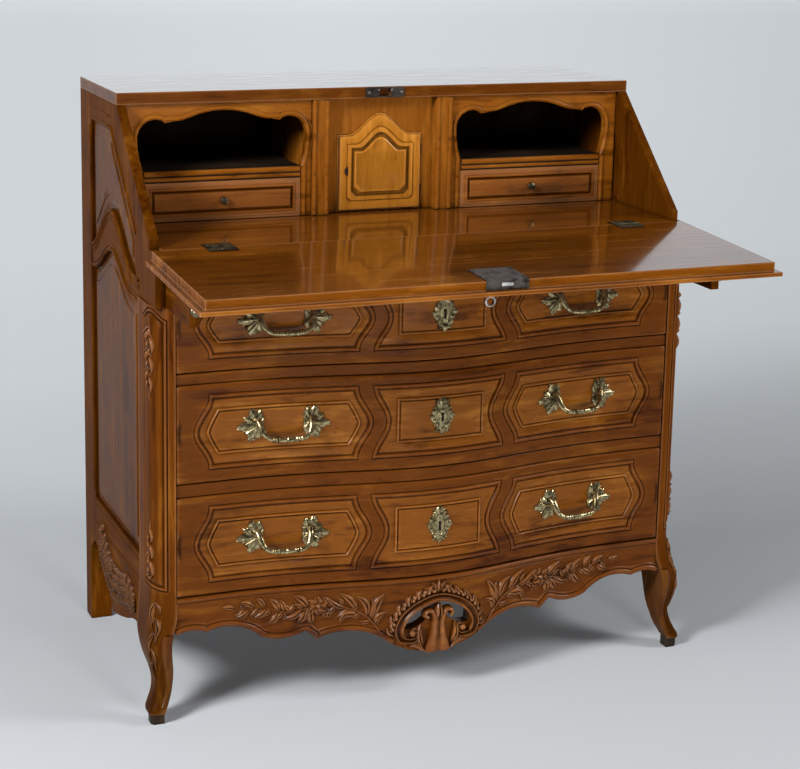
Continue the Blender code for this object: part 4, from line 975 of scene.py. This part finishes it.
def front_post(word, side):
    """Rounded post with a sunk panel, running down into a cabriole leg with a scrolled toe on a block."""
    at = post_at(side)
    depth, lift = GROOVES.T
    across = np.concatenate([np.linspace(0.0, PANEL_NEAR, 4)[:-1], PANEL_NEAR + depth,
                             np.linspace(PANEL_NEAR + depth[-1], PANEL_FAR - depth[-1], 16)[1:-1],
                             PANEL_FAR - depth[::-1], np.linspace(PANEL_FAR, PLAN_AT[-1], 5)[1:]])
    off_middle = (2 * across - PANEL_NEAR - PANEL_FAR) / (PANEL_FAR - PANEL_NEAR)
    head = PANEL_HIGH - PANEL_HEAD + PANEL_HEAD * bell(off_middle) ** 0.7
    rows = [0 * across + z for z in np.linspace(LEG[0, 0], PANEL_LOW, 60)[:-1]]
    rows += [0 * across + PANEL_LOW + d for d in depth]
    low, high = PANEL_LOW + depth[-1], head - depth[-1]
    rows += [low + (high - low) * s for s in np.linspace(0.0, 1.0, 14)[1:-1]]
    rows += [head - d for d in depth[::-1]]
    up = np.array(rows + [0 * across + POST_TOP - 0.002, 0 * across + POST_TOP])
    inside = np.minimum(np.minimum(across - PANEL_NEAR, PANEL_FAR - across),
                        np.minimum(up - PANEL_LOW, head - up))
    shape = Shape()
    face = at(across, up, np.interp(inside, depth, lift))
    shape.grid(face, (side, -1.0, 0.0))
    z = up[:, :1]
    inner, outer, front, back = leg_edges(z)
    plan = np.array(((1.0, 1.0), (0.5, 1.0), (0.0, 1.0), (0.0, 0.5), (0.0, 0.0)))
    rest = np.stack([side * (inner + (outer - inner) * plan[:, 0]),
                     SHIFT + front + (back - front) * plan[:, 1], z + 0 * plan[:, 0]], -1)
    shape.grid(rest, (-side, 1.0, 0.0))
    shape.face(np.vstack([face[0], rest[0, 1:-1]]), -UP)
    rim = np.vstack([face[-1], rest[-1, 1:-1]])
    top = rim.mean(axis=0) + 0.92 * (rim - rim.mean(axis=0))
    shape.grid([rim, top], UP, loop=True)
    shape.face(top, UP)
    piece(shape, word + "_carved_post", "carcass", post_upright, [word + "_front_post"], 50)
    block = Shape()
    inner, outer = POST_IN + 0.0232, POST_OUT + 0.0105
    outline = [(inner, -0.0118), (outer - 0.005, -0.0118), (outer, -0.007), (outer, 0.0098),
               (inner, 0.0098)]
    flat = lambda a, b, h: np.stack([side * np.asarray(a), SHIFT + np.asarray(b), np.full(len(a), h)], -1)
    block.slab(outline, flat, 0.0, LEG[0, 0] + 0.001, UP)
    bevelled(piece(block, word + "_toe_block", "carcass", foot_wood))


def husks(shape, at, out, middle, first, last, count, wide, grow):
    """Drop of twisting husk leaves with buds between them, largest at its first end."""
    ends = np.linspace(first, last, count + 1)
    for i in range(count):
        size = 1.0 - (1.0 - grow) * i / count
        step, way = ends[i + 1] - ends[i], (-1) ** i
        leaf(shape, at, (middle - 0.25 * way * wide, ends[i]),
             (middle + 0.45 * way * wide * size, ends[i] + 1.9 * step), wide * size, 0.0078, out,
             0.22 * way)
        leaf(shape, at, (middle, ends[i]), (middle - 0.60 * way * wide * size, ends[i] + 1.1 * step),
             0.7 * wide * size, 0.0060, out, 0.2 * way)
        leaf(shape, at, (middle, ends[i] + 0.3 * step), (middle, ends[i] + 1.2 * step), 0.4 * wide * size,
             0.0095, out, 0.0, ROUND)
    leaf(shape, at, (middle, last), (middle, last + 1.8 * (last - first) / count), 0.35 * wide, 0.0050, out,
         0.0)


def post_carving(word, side):
    """Husk drops at the ends of a post's panel, leaves down the knee and a roll down the leg."""
    at = post_at(side)
    out = np.array((side * 0.7, -0.7, 0.0))
    carve = Shape()
    middle = 0.0500
    stem(carve, at, ((middle, 0.672), (middle + 0.0010, 0.660), (middle - 0.0010, 0.650)), 0.0018, 0.0045,
         out, 20)
    husks(carve, at, out, middle, 0.656, 0.560, 6, 0.0150, 0.50)
    husks(carve, at, out, middle, 0.243, 0.312, 5, 0.0135, 0.55)
    flower(carve, at, (middle, 0.244), 0.0075, 0.0085, out)
    spine = curve(((0.040, 0.198), (0.031, 0.168), (0.033, 0.138), (0.032, 0.110), (0.037, 0.082)), 6)
    for i in range(5):
        step, way = spine[i + 1] - spine[i], (-1) ** i
        wide = 0.0165 - 0.0016 * i
        leaf(carve, at, spine[i] - (0.0030 * way, 0.0), spine[i] + 1.45 * step + (0.0045 * way, 0.0), wide,
             0.0062, out, 0.25 * way)
        leaf(carve, at, spine[i], spine[i] + 0.8 * step - (0.0090 * way, 0.0), 0.55 * wide, 0.0050, out,
             -0.25 * way)
    piece(carve, word + "_post_carving", "carcass", carved_upright)
    roll = Shape()
    line = [(0.0040, z) for z in np.linspace(0.149, 0.030, 40)]
    taper = np.linspace(1.0, 0.7, 40)
    strap(roll, at, line, 0.0042 * taper, 0.0056 * taper, out=out)
    piece(roll, word + "_leg_roll", "carcass", carved_upright)


# Sides
ARCH_PEAK_Y, SIDE_SPAN = 0.279877, 0.3206


def rail_top(y):
    """Upper edge of the arched middle rail."""
    return BED_TOP - 0.060 + 0.082 * bell((y - ARCH_PEAK_Y) / (0.468 * SIDE_SPAN))


def rail_bottom(y):
    """Lower edge of the arched middle rail."""
    return BED_TOP - 0.102 + 0.051 * bell((y - ARCH_PEAK_Y) / (0.405 * SIDE_SPAN))


def fielded(shape, at, outer, inner, profile, out):
    """Panel that steps in from an outer outline to an inner one and is filled by a flat field."""
    outer, inner = np.asarray(outer, float), np.asarray(inner, float)
    rows = [at(*(outer + (inner - outer) * t).T, h) for t, h in profile]
    shape.grid(rows, out, loop=True)
    shape.face(rows[-1], out)


# Opening of the upper panel: the line of the sloping stile's inner edge, and the top rail's lower edge
SLOPE_TAN, STILE_DROP, SIDE_RAIL_Z, PANEL_FRONT_Y = 0.922374, 0.084347, 0.935, 0.1180
RAIL_FRONT_Y = HINGE_Y + (SIDE_RAIL_Z + STILE_DROP - BED_TOP) / SLOPE_TAN


def slope_edge(y):
    """Upper edge of the upper panel: under the sloping stile, then under the top rail."""
    return np.minimum(SIDE_RAIL_Z, BED_TOP + (np.asarray(y) - HINGE_Y) * SLOPE_TAN - STILE_DROP)


SIDE_FIELD = ((0.0, 0.0), (0.0022, 0.0), (0.0030, -0.0004), (0.0066, 0.0014), (0.0187, 0.0026),
              (0.0198, 0.0022), (0.0220, 0.0040))


def side_field(shape, at, ys, low, high, out):
    """Raised panel between a lower and an upper edge, bevelled all round."""
    depth, lift = np.array(SIDE_FIELD).T
    y0, y1 = ys
    y = np.concatenate([y0 + depth, np.linspace(y0 + depth[-1], y1 - depth[-1], 50)[1:-1],
                        y1 - depth[::-1]])
    bottom, top = low(y), high(y)
    lean_low, lean_high = [np.hypot(1.0, np.gradient(edge, y)) for edge in (bottom, top)]
    foot, head = bottom + depth[-1] * lean_low, top - depth[-1] * lean_high
    up = np.array([bottom + d * lean_low for d in depth]
                  + [foot + (head - foot) * s for s in np.linspace(0, 1, 8)[1:-1]]
                  + [top - d * lean_high for d in depth[::-1]])
    inside = np.minimum(np.minimum(y - y0, y1 - y),
                        np.minimum((up - bottom) / lean_low, (top - up) / lean_high))
    shape.grid(at(y, up, np.interp(inside, depth, lift)), out)


def side_trim(word, side):
    """Arched mouldings and raised panels of one side."""
    out = np.array((side, 0.0, 0.0))
    at = side_at(side)
    mould = Shape()
    ys = np.linspace(POST_D + 0.002, STILE_Y - 0.002, 60)
    for offset, half, tall in ((-0.004, 0.0032, 0.0030), (-0.0125, 0.0022, 0.0020),
                               (-0.0185, 0.0016, 0.0016)):
        strap(mould, at, np.stack([ys, rail_top(ys) + offset], -1), half, tall, out=out)
    for offset, half, tall in ((0.004, 0.0032, 0.0030), (0.0115, 0.0018, 0.0018)):
        strap(mould, at, np.stack([ys, rail_bottom(ys) + offset], -1), half, tall, out=out)
    slant = np.linspace(PANEL_FRONT_Y, RAIL_FRONT_Y, 20)
    strap(mould, at, np.stack([slant, slope_edge(slant) + 0.0055], -1), 0.0030, 0.0026, out=out)
    for z in (SIDE_RAIL_Z + 0.004, SIDE_RAIL_Z + 0.021):
        strap(mould, at, [(y, z) for y in np.linspace(RAIL_FRONT_Y + 0.012, STILE_Y, 8)], 0.0026, 0.0024,
              out=out)
    for a, z0, z1 in ((STILE_Y + 0.004, 0.262, 0.925), (POST_D - 0.004, 0.262, 0.668)):
        strap(mould, at, [(a, z) for z in np.linspace(z0, z1, 12)], 0.0030, 0.0026, out=out)
    for z, half in ((SIDE_APRON_TOP - 0.0045, 0.0034), (SIDE_APRON_TOP - 0.0125, 0.0018),
                    (SIDE_APRON_TOP - 0.046, 0.0026)):
        strap(mould, at, [(y, z) for y in np.linspace(POST_D + 0.002, STILE_Y - 0.002, 12)], half,
              0.8 * half, out=out)
    piece(mould, word + "_side_mouldings", "carcass", walnut_upright)
    panel = Shape()
    at = side_at(side, PANEL_SET_BACK)
    side_field(panel, at, (POST_D + 0.004, STILE_Y - 0.004), lambda y: SIDE_APRON_TOP + 0.003 + 0 * y,
               lambda y: rail_bottom(y) - 0.003, out)
    piece(panel, word + "_lower_field", "carcass", polished_upright)
    panel = Shape()
    side_field(panel, at, (PANEL_FRONT_Y + 0.003, STILE_Y - 0.004), lambda y: rail_top(y) + 0.003,
               lambda y: slope_edge(y) - 0.003, out)
    piece(panel, word + "_upper_field", "carcass", polished_upright)


def side_carving(word, side):
    """Leafy carving on the apron of one side."""
    at = side_at(side)
    out = np.array((side, 0.0, 0.0))
    shape = Shape()
    line = np.array(((0.135, 0.140), (0.175, 0.150), (0.215, 0.139), (0.255, 0.128), (0.295, 0.124),
                     (0.335, 0.142), (0.375, 0.170)))
    for rise, count, long in ((0.0, 24, 0.0165), (0.024, 20, 0.0160), (0.046, 14, 0.0140)):
        branch = line + np.stack([0 * line[:, 0], rise * np.linspace(0.35, 1.0, len(line))], -1)
        stem(shape, at, branch, 0.0024, 0.0042, out, 60)
        spine = curve(branch, count + 1)
        for i in range(1, count):
            on = spine[i + 1] - spine[i - 1]
            on = on / np.linalg.norm(on)
            normal = np.array((-on[1], on[0]))
            for way in (-1, 1):
                leaf(shape, at, spine[i], spine[i] + way * long * normal + 0.010 * on, 0.0112, 0.0062, out,
                     0.18 * way)
        for i in range(3, count, 5):
            flower(shape, at, spine[i] + (0.0, 0.004), 0.0105, 0.0074, out, 5, 0.3 * i)
    piece(shape, word + "_side_carving", "carcass", carved_upright)


# Fitted interior
def bay_arch():
    """Right half of the scalloped head of a pigeonhole, from its top to its foot."""
    def at(across, up):
        return (BAY_HALF * across, SHELF_TOP + (CEILING - SHELF_TOP) * up)
    points = arc(at(0.0, 0.877), at(0.215, 0.851), at(0.431, 0.772))
    points += arc(at(0.431, 0.772), at(0.589, 0.728), at(0.718, 0.737))
    points += [at(0.726, 0.706)]
    points += arc(at(0.762, 0.746), at(0.955, 0.728), at(1.066, 0.526))
    points += arc(at(1.066, 0.526), at(1.052, 0.254), at(1.0, 0.0))
    return np.array(points + [at(1.0, 0.0)])


def turned_knob(node, body, profile):
    """Turned knob in place of a plain one, from pairs of share of its reach and radius."""
    low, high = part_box(node)
    centre = ((low[0] + high[0]) / 2, high[1], (low[2] + high[2]) / 2)
    shape = Shape()
    shape.turned(centre, FORWARD, [((high[1] - low[1]) * d, r) for d, r in profile])
    word, kind = node.split("_", 1)
    piece(shape, word + "_turned_" + kind, body, dark_brass, [node])


def interior(word, side):
    """Beads round a pigeonhole, the shelf's edge and the panel of the small drawer."""
    at = flat_at(FACE_Y)
    half = bay_arch()
    trim = Shape()
    for k in (-1, 1):
        for outwards, wide, tall in ((0.0042, 0.0034, 0.0030), (0.0105, 0.0014, 0.0012)):
            line = offset_path(half, outwards) * (k, 1) + (side * BAY_MIDDLE, 0)
            strap(trim, at, line, wide, tall)
        post = side * BAY_MIDDLE + k * (BAY_HALF + 0.006)
        strap(trim, at, [(post, z) for z in np.linspace(BED_TOP + 0.002, SHELF_TOP, 8)], 0.0034, 0.0026)
    proud = flat_at(FACE_Y - 0.005)
    for x in (0.1045, 0.1268):
        strap(trim, proud, [(side * x, z) for z in np.linspace(BED_TOP + 0.002, CEILING - 0.002, 10)],
              0.0036, 0.0030)
    shelf = np.linspace(-BAY_HALF + 0.002, BAY_HALF - 0.002, 12) + side * BAY_MIDDLE
    low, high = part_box(word + "_shelf")
    strap(trim, flat_at(low[1] - SHIFT), np.stack([shelf, 0 * shelf + SHELF_TOP - 0.0052], -1), 0.0046,
          0.0022)
    strap(trim, flat_at(low[1] - SHIFT), np.stack([shelf, 0 * shelf + SHELF_LOW + 0.0048], -1), 0.0030,
          0.0016)
    piece(trim, word + "_interior_beads", "carcass", pale_across)
    low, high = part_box(word + "_small_drawer")
    at = flat_at(low[1] - SHIFT)
    panel = Shape()
    z0, z1, x0, x1 = low[2] + 0.004, high[2] - 0.004, low[0] + 0.004, high[0] - 0.004
    outer = [(x0, z0), (x1, z0), (x1, z1), (x0, z1)]
    margin = 0.0175
    inner = [(x0 + margin, z0 + margin), (x1 - margin, z0 + margin), (x1 - margin, z1 - margin),
             (x0 + margin, z1 - margin)]
    profile = ((0.0, -0.0002), (0.04, 0.0008), (0.36, 0.0012), (0.40, 0.0024), (0.50, 0.0028),
               (0.58, 0.0022), (0.62, 0.0004), (0.84, 0.0004), (0.88, 0.0016), (1.0, 0.0022))
    fielded(panel, at, outer, inner, profile, FORWARD)
    piece(panel, word + "_small_drawer_panel", "small_drawer_" + word, small_across)
    turned_knob(word + "_small_knob", "small_drawer_" + word,
                ((-0.02, 0.0045), (0.08, 0.0062), (0.14, 0.0056), (0.20, 0.0032), (0.42, 0.0028),
                 (0.52, 0.0056), (0.68, 0.0070), (0.86, 0.0060), (0.96, 0.0034), (1.0, 0.0)))


def door():
    """Moulded edge, raised arched panel, keyhole plate and hinge knuckles of the cupboard door."""
    at = flat_at(DOOR_Y)
    head = CEILING - 0.0655

    def arched(half, foot, shoulder, rise, spread, corner):
        xs = np.linspace(0.0, 1.0, 13)
        top = [(spread * x, shoulder + rise * float(bell(x)) ** 0.9) for x in xs]
        right = top + [(half, shoulder), (half, foot + corner), (half - corner, foot)]
        return np.array(right + [(-x, z) for x, z in right[::-1]][:-1])
    shape = Shape()
    profile = ((0.0, 0.0), (0.004, 0.0036), (0.03, 0.0054), (0.07, 0.0060), (0.42, 0.0060), (0.45, 0.0050),
               (0.50, 0.0078), (0.60, 0.0084), (0.68, 0.0074), (0.71, 0.0046), (0.86, 0.0046),
               (0.89, 0.0072), (0.94, 0.0080), (1.0, 0.0070))
    outer = arched(0.0765, BED_TOP + 0.004, head - 0.002, 0.0360, 0.0565, 0.0006)
    inner = arched(0.0440, BED_TOP + 0.0400, head - 0.0330, 0.0230, 0.0330, 0.0120)
    fielded(shape, at, outer, inner, profile, FORWARD)
    piece(shape, "door_panel", "door", door_wood)
    plate = Shape()
    outline = [(-0.0610 + 0.0055 * math.cos(a) * (1 + 0.15 * math.cos(4 * a)),
                0.851 + 0.0080 * math.sin(a)) for a in turns(24)]
    plate.slab(outline, at, 0.0040, 0.0074, FORWARD)
    piece(plate, "door_key_plate", "door", iron)
    # The keyhole is a dark slab that paints the shade inside it
    hole = Shape()
    hole.slab([(-0.0610 + x, 0.851 + z) for x,
               z in ((-0.0012, -0.0045), (0.0012, -0.0045), (0.0010, 0.001), (0.0016, 0.003), (0.0, 0.0045),
                     (-0.0016, 0.003), (-0.0010, 0.001))], at, 0.0050, 0.0077, FORWARD)
    piece(hole, "door_keyhole", "door", keyhole_shade)
    pins = Shape()
    for z in (0.813, 0.885):
        spot = (DOOR_HALF, SHIFT + DOOR_Y, z - 0.009)
        pins.turned(spot, UP, ((0.0, 0.0), (0.0004, 0.0020), (0.0085, 0.0022), (0.009, 0.0018),
                               (0.0095, 0.0022), (0.0176, 0.0020), (0.018, 0.0)), 12)
    piece(pins, "door_knuckles", "door", iron)


# Fall front fittings
FALL_UP = fall_at(0, 0, 1) - fall_at(0, 0, 0)
SCREW = ((0.0, 0.0026), (0.0006, 0.0024), (0.0010, 0.0))
SCREW_IN, SCREW_OFF, SCREW_SINK = 0.008, 0.015, 0.0002


def fall_fittings():
    """Screws, nails, hinge knuckles and loper knobs."""
    nails = Shape()
    for x in (-0.030, 0.030):
        for s in (FALL_LENGTH - 0.012, FALL_LENGTH - 0.058):
            nails.turned(fall_at(x, s, 0.0012), FALL_UP,
                         ((0.0, 0.0030), (0.0010, 0.0028), (0.0018, 0.0016), (0.0020, 0.0)), 12)
    piece(nails, "lock_nails", "fall", iron)
    for word, _ in SIDES:
        low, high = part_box(word + "_bed_hinge")
        knuckle = Shape()
        start, end = low[0], high[0]
        joints = ((0.0, 0.0), (0.0005, 0.0026), (0.0155, 0.0027), (0.0160, 0.0022), (0.0165, 0.0027),
                  (0.0315, 0.0027), (0.0320, 0.0022), (0.0325, 0.0027), (0.0475, 0.0026),
                  (end - start, 0.0))
        knuckle.turned((start, SHIFT + HINGE_Y, BED_TOP), (1, 0, 0), joints, 14)
        piece(knuckle, word + "_hinge_knuckle", "carcass", dark_brass)
        bed, lid = Shape(), Shape()
        for x in (start + SCREW_IN, (start + end) / 2, end - SCREW_IN):
            bed.turned((x, SHIFT + HINGE_Y + SCREW_OFF, high[2] - SCREW_SINK), UP, SCREW, 12)
            lid.turned(fall_at(x, SCREW_OFF, high[2] - BED_TOP - SCREW_SINK), FALL_UP, SCREW, 12)
        piece(bed, word + "_bed_hinge_screws", "carcass", dark_brass)
        piece(lid, word + "_fall_hinge_screws", "fall", dark_brass)
        turned_knob(word + "_loper_knob", "loper_" + word,
                    ((-0.02, 0.0060), (0.06, 0.0066), (0.12, 0.0058), (0.18, 0.0036), (0.40, 0.0034),
                     (0.50, 0.0060), (0.66, 0.0075), (0.84, 0.0066), (0.95, 0.0040), (1.0, 0.0)))
    studs = Shape()
    low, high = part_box("strike_plate")
    for x in (-0.030, -0.012, 0.012, 0.030):
        studs.turned((x, low[1] + 0.0002, high[2] - 0.0045 if abs(x) < 0.02 else low[2] + 0.009), FORWARD,
                     ((0.0, 0.0022), (0.0008, 0.0020), (0.0013, 0.0)), 10)
    piece(studs, "strike_nails", "carcass", steel)


def ring_key():
    """Key with a round bow, hanging from the lock."""
    shape = Shape()
    s = FALL_LENGTH - 0.057
    under = -FALL_T - LIP_T
    centre = under - 0.027
    turn = np.linspace(0.0, 2 * math.pi, 33)
    loop = np.array([fall_at(0.0075 * math.cos(a), s, centre + 0.0075 * math.sin(a)) for a in turn])
    shape.grid([[p + 0.0018 * (math.cos(b) * (p - fall_at(0, s, centre)) / 0.0075
                               + math.sin(b) * np.array((0, 1, 0))) for b in turns(10)] for p in loop],
                               loop=True)
    low = fall_at(0.0, s, centre + 0.0075)
    top = -0.0092 - centre - 0.0075
    shape.turned(low, FALL_UP, ((-0.001, 0.0016), (0.001, 0.0030), (0.002, 0.0030), (0.003, 0.0021),
                                (0.006, 0.0021), (0.007, 0.0029), (0.008, 0.0021), (top - 0.001, 0.0021),
                                (top, 0.0)), 14)
    piece(shape, "ring_key", "lock_key", steel, ["key"])


for word in DRAWERS:
    drawer_front(word)
    key_plate(word)
    for hand, side in SIDES:
        cast_handle(word, hand, side)
inner_runner = FRONT_HALF - RUNNER_W
runner_back = BACK_Y - 0.003
with_runners = [(RAIL_HALF, runner_back), (inner_runner, runner_back), (inner_runner, RAIL_D),
                (-inner_runner, RAIL_D), (-inner_runner, runner_back), (-RAIL_HALF, runner_back)]
bowed_rail("upper_drawer_frame", "upper_bowed_rail", with_runners)
bowed_rail("lower_drawer_frame", "lower_bowed_rail", with_runners)
bowed_rail("bed_rail", "bowed_bed_rail", [(RAIL_HALF, RAIL_D), (-RAIL_HALF, RAIL_D)])
apron()
apron_mouldings()
apron_spray("left_apron_spray", -1)
apron_spray("right_apron_spray", 1)
cartouche()
for word, side in SIDES:
    front_post(word, side)
    post_carving(word, side)
    side_trim(word, side)
    side_carving(word, side)
    interior(word, side)
door()
fall_fittings()
ring_key()


# Finishes of the CAD nodes that still show
FINISH = {"top_board": polished_top, "fall_front": polished_fall, "writing_bed": polished_fall,
          "back_panel": back_oak, "bottom_drawer_frame": old_oak, "cupboard_frame": pale_upright,
          "cupboard_door": door_wood, "fall_lock": iron, "strike_plate": iron, "lock_bolt": steel,
          "key": steel}
for word, _ in SIDES:
    FINISH.update({word + "_bay_front": pale_across, word + "_shelf": painted_shade_shelf,
                   word + "_small_drawer": small_across, word + "_loper": walnut_deep,
                   word + "_middle_rail": walnut_deep, word + "_side_apron": walnut_deep,
                   word + "_bed_hinge": dark_brass, word + "_fall_hinge": dark_brass,
                   word + "_lower_panel": polished_upright, word + "_upper_panel": polished_upright})
for word in DRAWERS:
    FINISH[word + "_drawer_box"] = old_oak
for name, obj in frame["nodes"].items():
    node = bpy.data.objects[obj] if isinstance(obj, str) else obj
    finish = FINISH.get(name, walnut_upright)
    for slot in node.material_slots:
        slot.material = finish
    join = node.modifiers.new("join", "WELD")
    join.merge_threshold = 0.00001
    bevelled(node, 0.0008)


# Floor, backdrop, light and camera
AIM = (0.0, 0.0, 0.5)


def sweep():
    """Floor that curves up into a backdrop, as one sheet."""
    turn = np.linspace(0.0, math.pi / 2, 20)
    radius, back, front, wide, tall = 1.6, 4.6, -6.0, 9.0, 7.0
    line = [(front, 0.0), (back - radius, 0.0)]
    line += [(back - radius + radius * math.sin(a), radius - radius * math.cos(a)) for a in turn[1:]]
    line += [(back, tall)]
    shape = Shape()
    shape.grid([[(x, y, z) for x in (-wide, wide)] for y, z in line], UP)
    finish = Finish("studio_paper")
    tint = finish.noise(finish.place, 0.7, 3.0)
    finish.put(finish.shader, "Base Color",
               finish.ramp(tint, [(0.3, (0.585, 0.612, 0.640)), (0.7, (0.612, 0.640, 0.668))]))
    rays = finish.add("ShaderNodeLightPath").outputs
    seen = finish.math("MAXIMUM", rays["Is Camera Ray"], rays["Is Glossy Ray"])
    far = finish.math("DIVIDE", finish.add("ShaderNodeSeparateXYZ", {"Vector": finish.place}).outputs["Y"],
                      back)
    glow = finish.ramp(far, [(0.08, 0.0), (0.24, 0.15), (0.45, 0.33), (0.66, 0.42), (0.95, 0.41),
                             (1.0, 0.66)])
    finish.shader.inputs["Emission Color"].default_value = (0.92, 0.97, 1.0, 1.0)
    finish.put(finish.shader, "Emission Strength", finish.math("MULTIPLY", seen, glow))
    finish.put(finish.shader, "Roughness",
               finish.ramp(finish.noise(finish.place, 9.0), [(0.3, 0.75), (0.7, 0.85)]))
    mesh = bpy.data.meshes.new("studio_sweep")
    mesh.from_pydata(shape.points, [], shape.faces)
    mesh.shade_smooth()
    mesh.materials.append(finish.material)
    obj = bpy.data.objects.new("studio_sweep", mesh)
    bpy.context.scene.collection.objects.link(obj)


def lamp(name, spot, size, watts):
    """Soft square lamp aimed at the middle of the bureau."""
    data = bpy.data.lights.new(name, "AREA")
    data.size = size
    data.energy = watts
    obj = bpy.data.objects.new(name, data)
    obj.location = spot
    obj.rotation_euler = (Vector(AIM) - Vector(spot)).to_track_quat("-Z", "Y").to_euler()
    bpy.context.scene.collection.objects.link(obj)
    return obj


sweep()
lamp("left_lamp", (-2.9, -1.3, 2.35), 0.9, 142.0)
lamp("right_lamp", (2.8, -1.4, 2.3), 0.9, 56.0)
lamp("front_fill", (0.2, -3.6, 0.42), 0.8, 88.0).visible_glossy = False
world = bpy.data.worlds.new("studio_world")
bpy.context.scene.world = world
world.use_nodes = True
world.node_tree.nodes["Background"].inputs["Color"].default_value = (0.90, 0.95, 1.0, 1.0)
world.node_tree.nodes["Background"].inputs["Strength"].default_value = 0.035

WIDTH_PX, FOCAL_PX, RISE_PX = 800, 1905.1473, 124.5
YAW, PITCH, ROLL = 0.3916, 0.201, 0.0207
CAMERA_SPOT, SENSOR_MM = (-1.2274, -2.8161 + SHIFT, 1.3646), 36.0
forward = Vector((math.sin(YAW) * math.cos(PITCH), math.cos(YAW) * math.cos(PITCH), -math.sin(PITCH)))
level = Vector((math.cos(YAW), -math.sin(YAW), 0.0))
above = level.cross(forward)
axis_x = level * math.cos(ROLL) + above * math.sin(ROLL)
axis_y = above * math.cos(ROLL) - level * math.sin(ROLL)
camera = bpy.data.objects.new("photo_camera", bpy.data.cameras.new("photo_camera"))
camera.data.sensor_width = SENSOR_MM
camera.data.sensor_fit = "HORIZONTAL"
camera.data.lens = SENSOR_MM * FOCAL_PX / WIDTH_PX
camera.data.shift_y = -RISE_PX / WIDTH_PX
turn = Matrix((axis_x, axis_y, -forward)).transposed().to_4x4()
camera.matrix_world = Matrix.Translation(CAMERA_SPOT) @ turn
bpy.context.scene.collection.objects.link(camera)
bpy.context.scene.camera = camera
bpy.context.scene.view_settings.view_transform = "Standard"

bpy.context.view_layer.update()
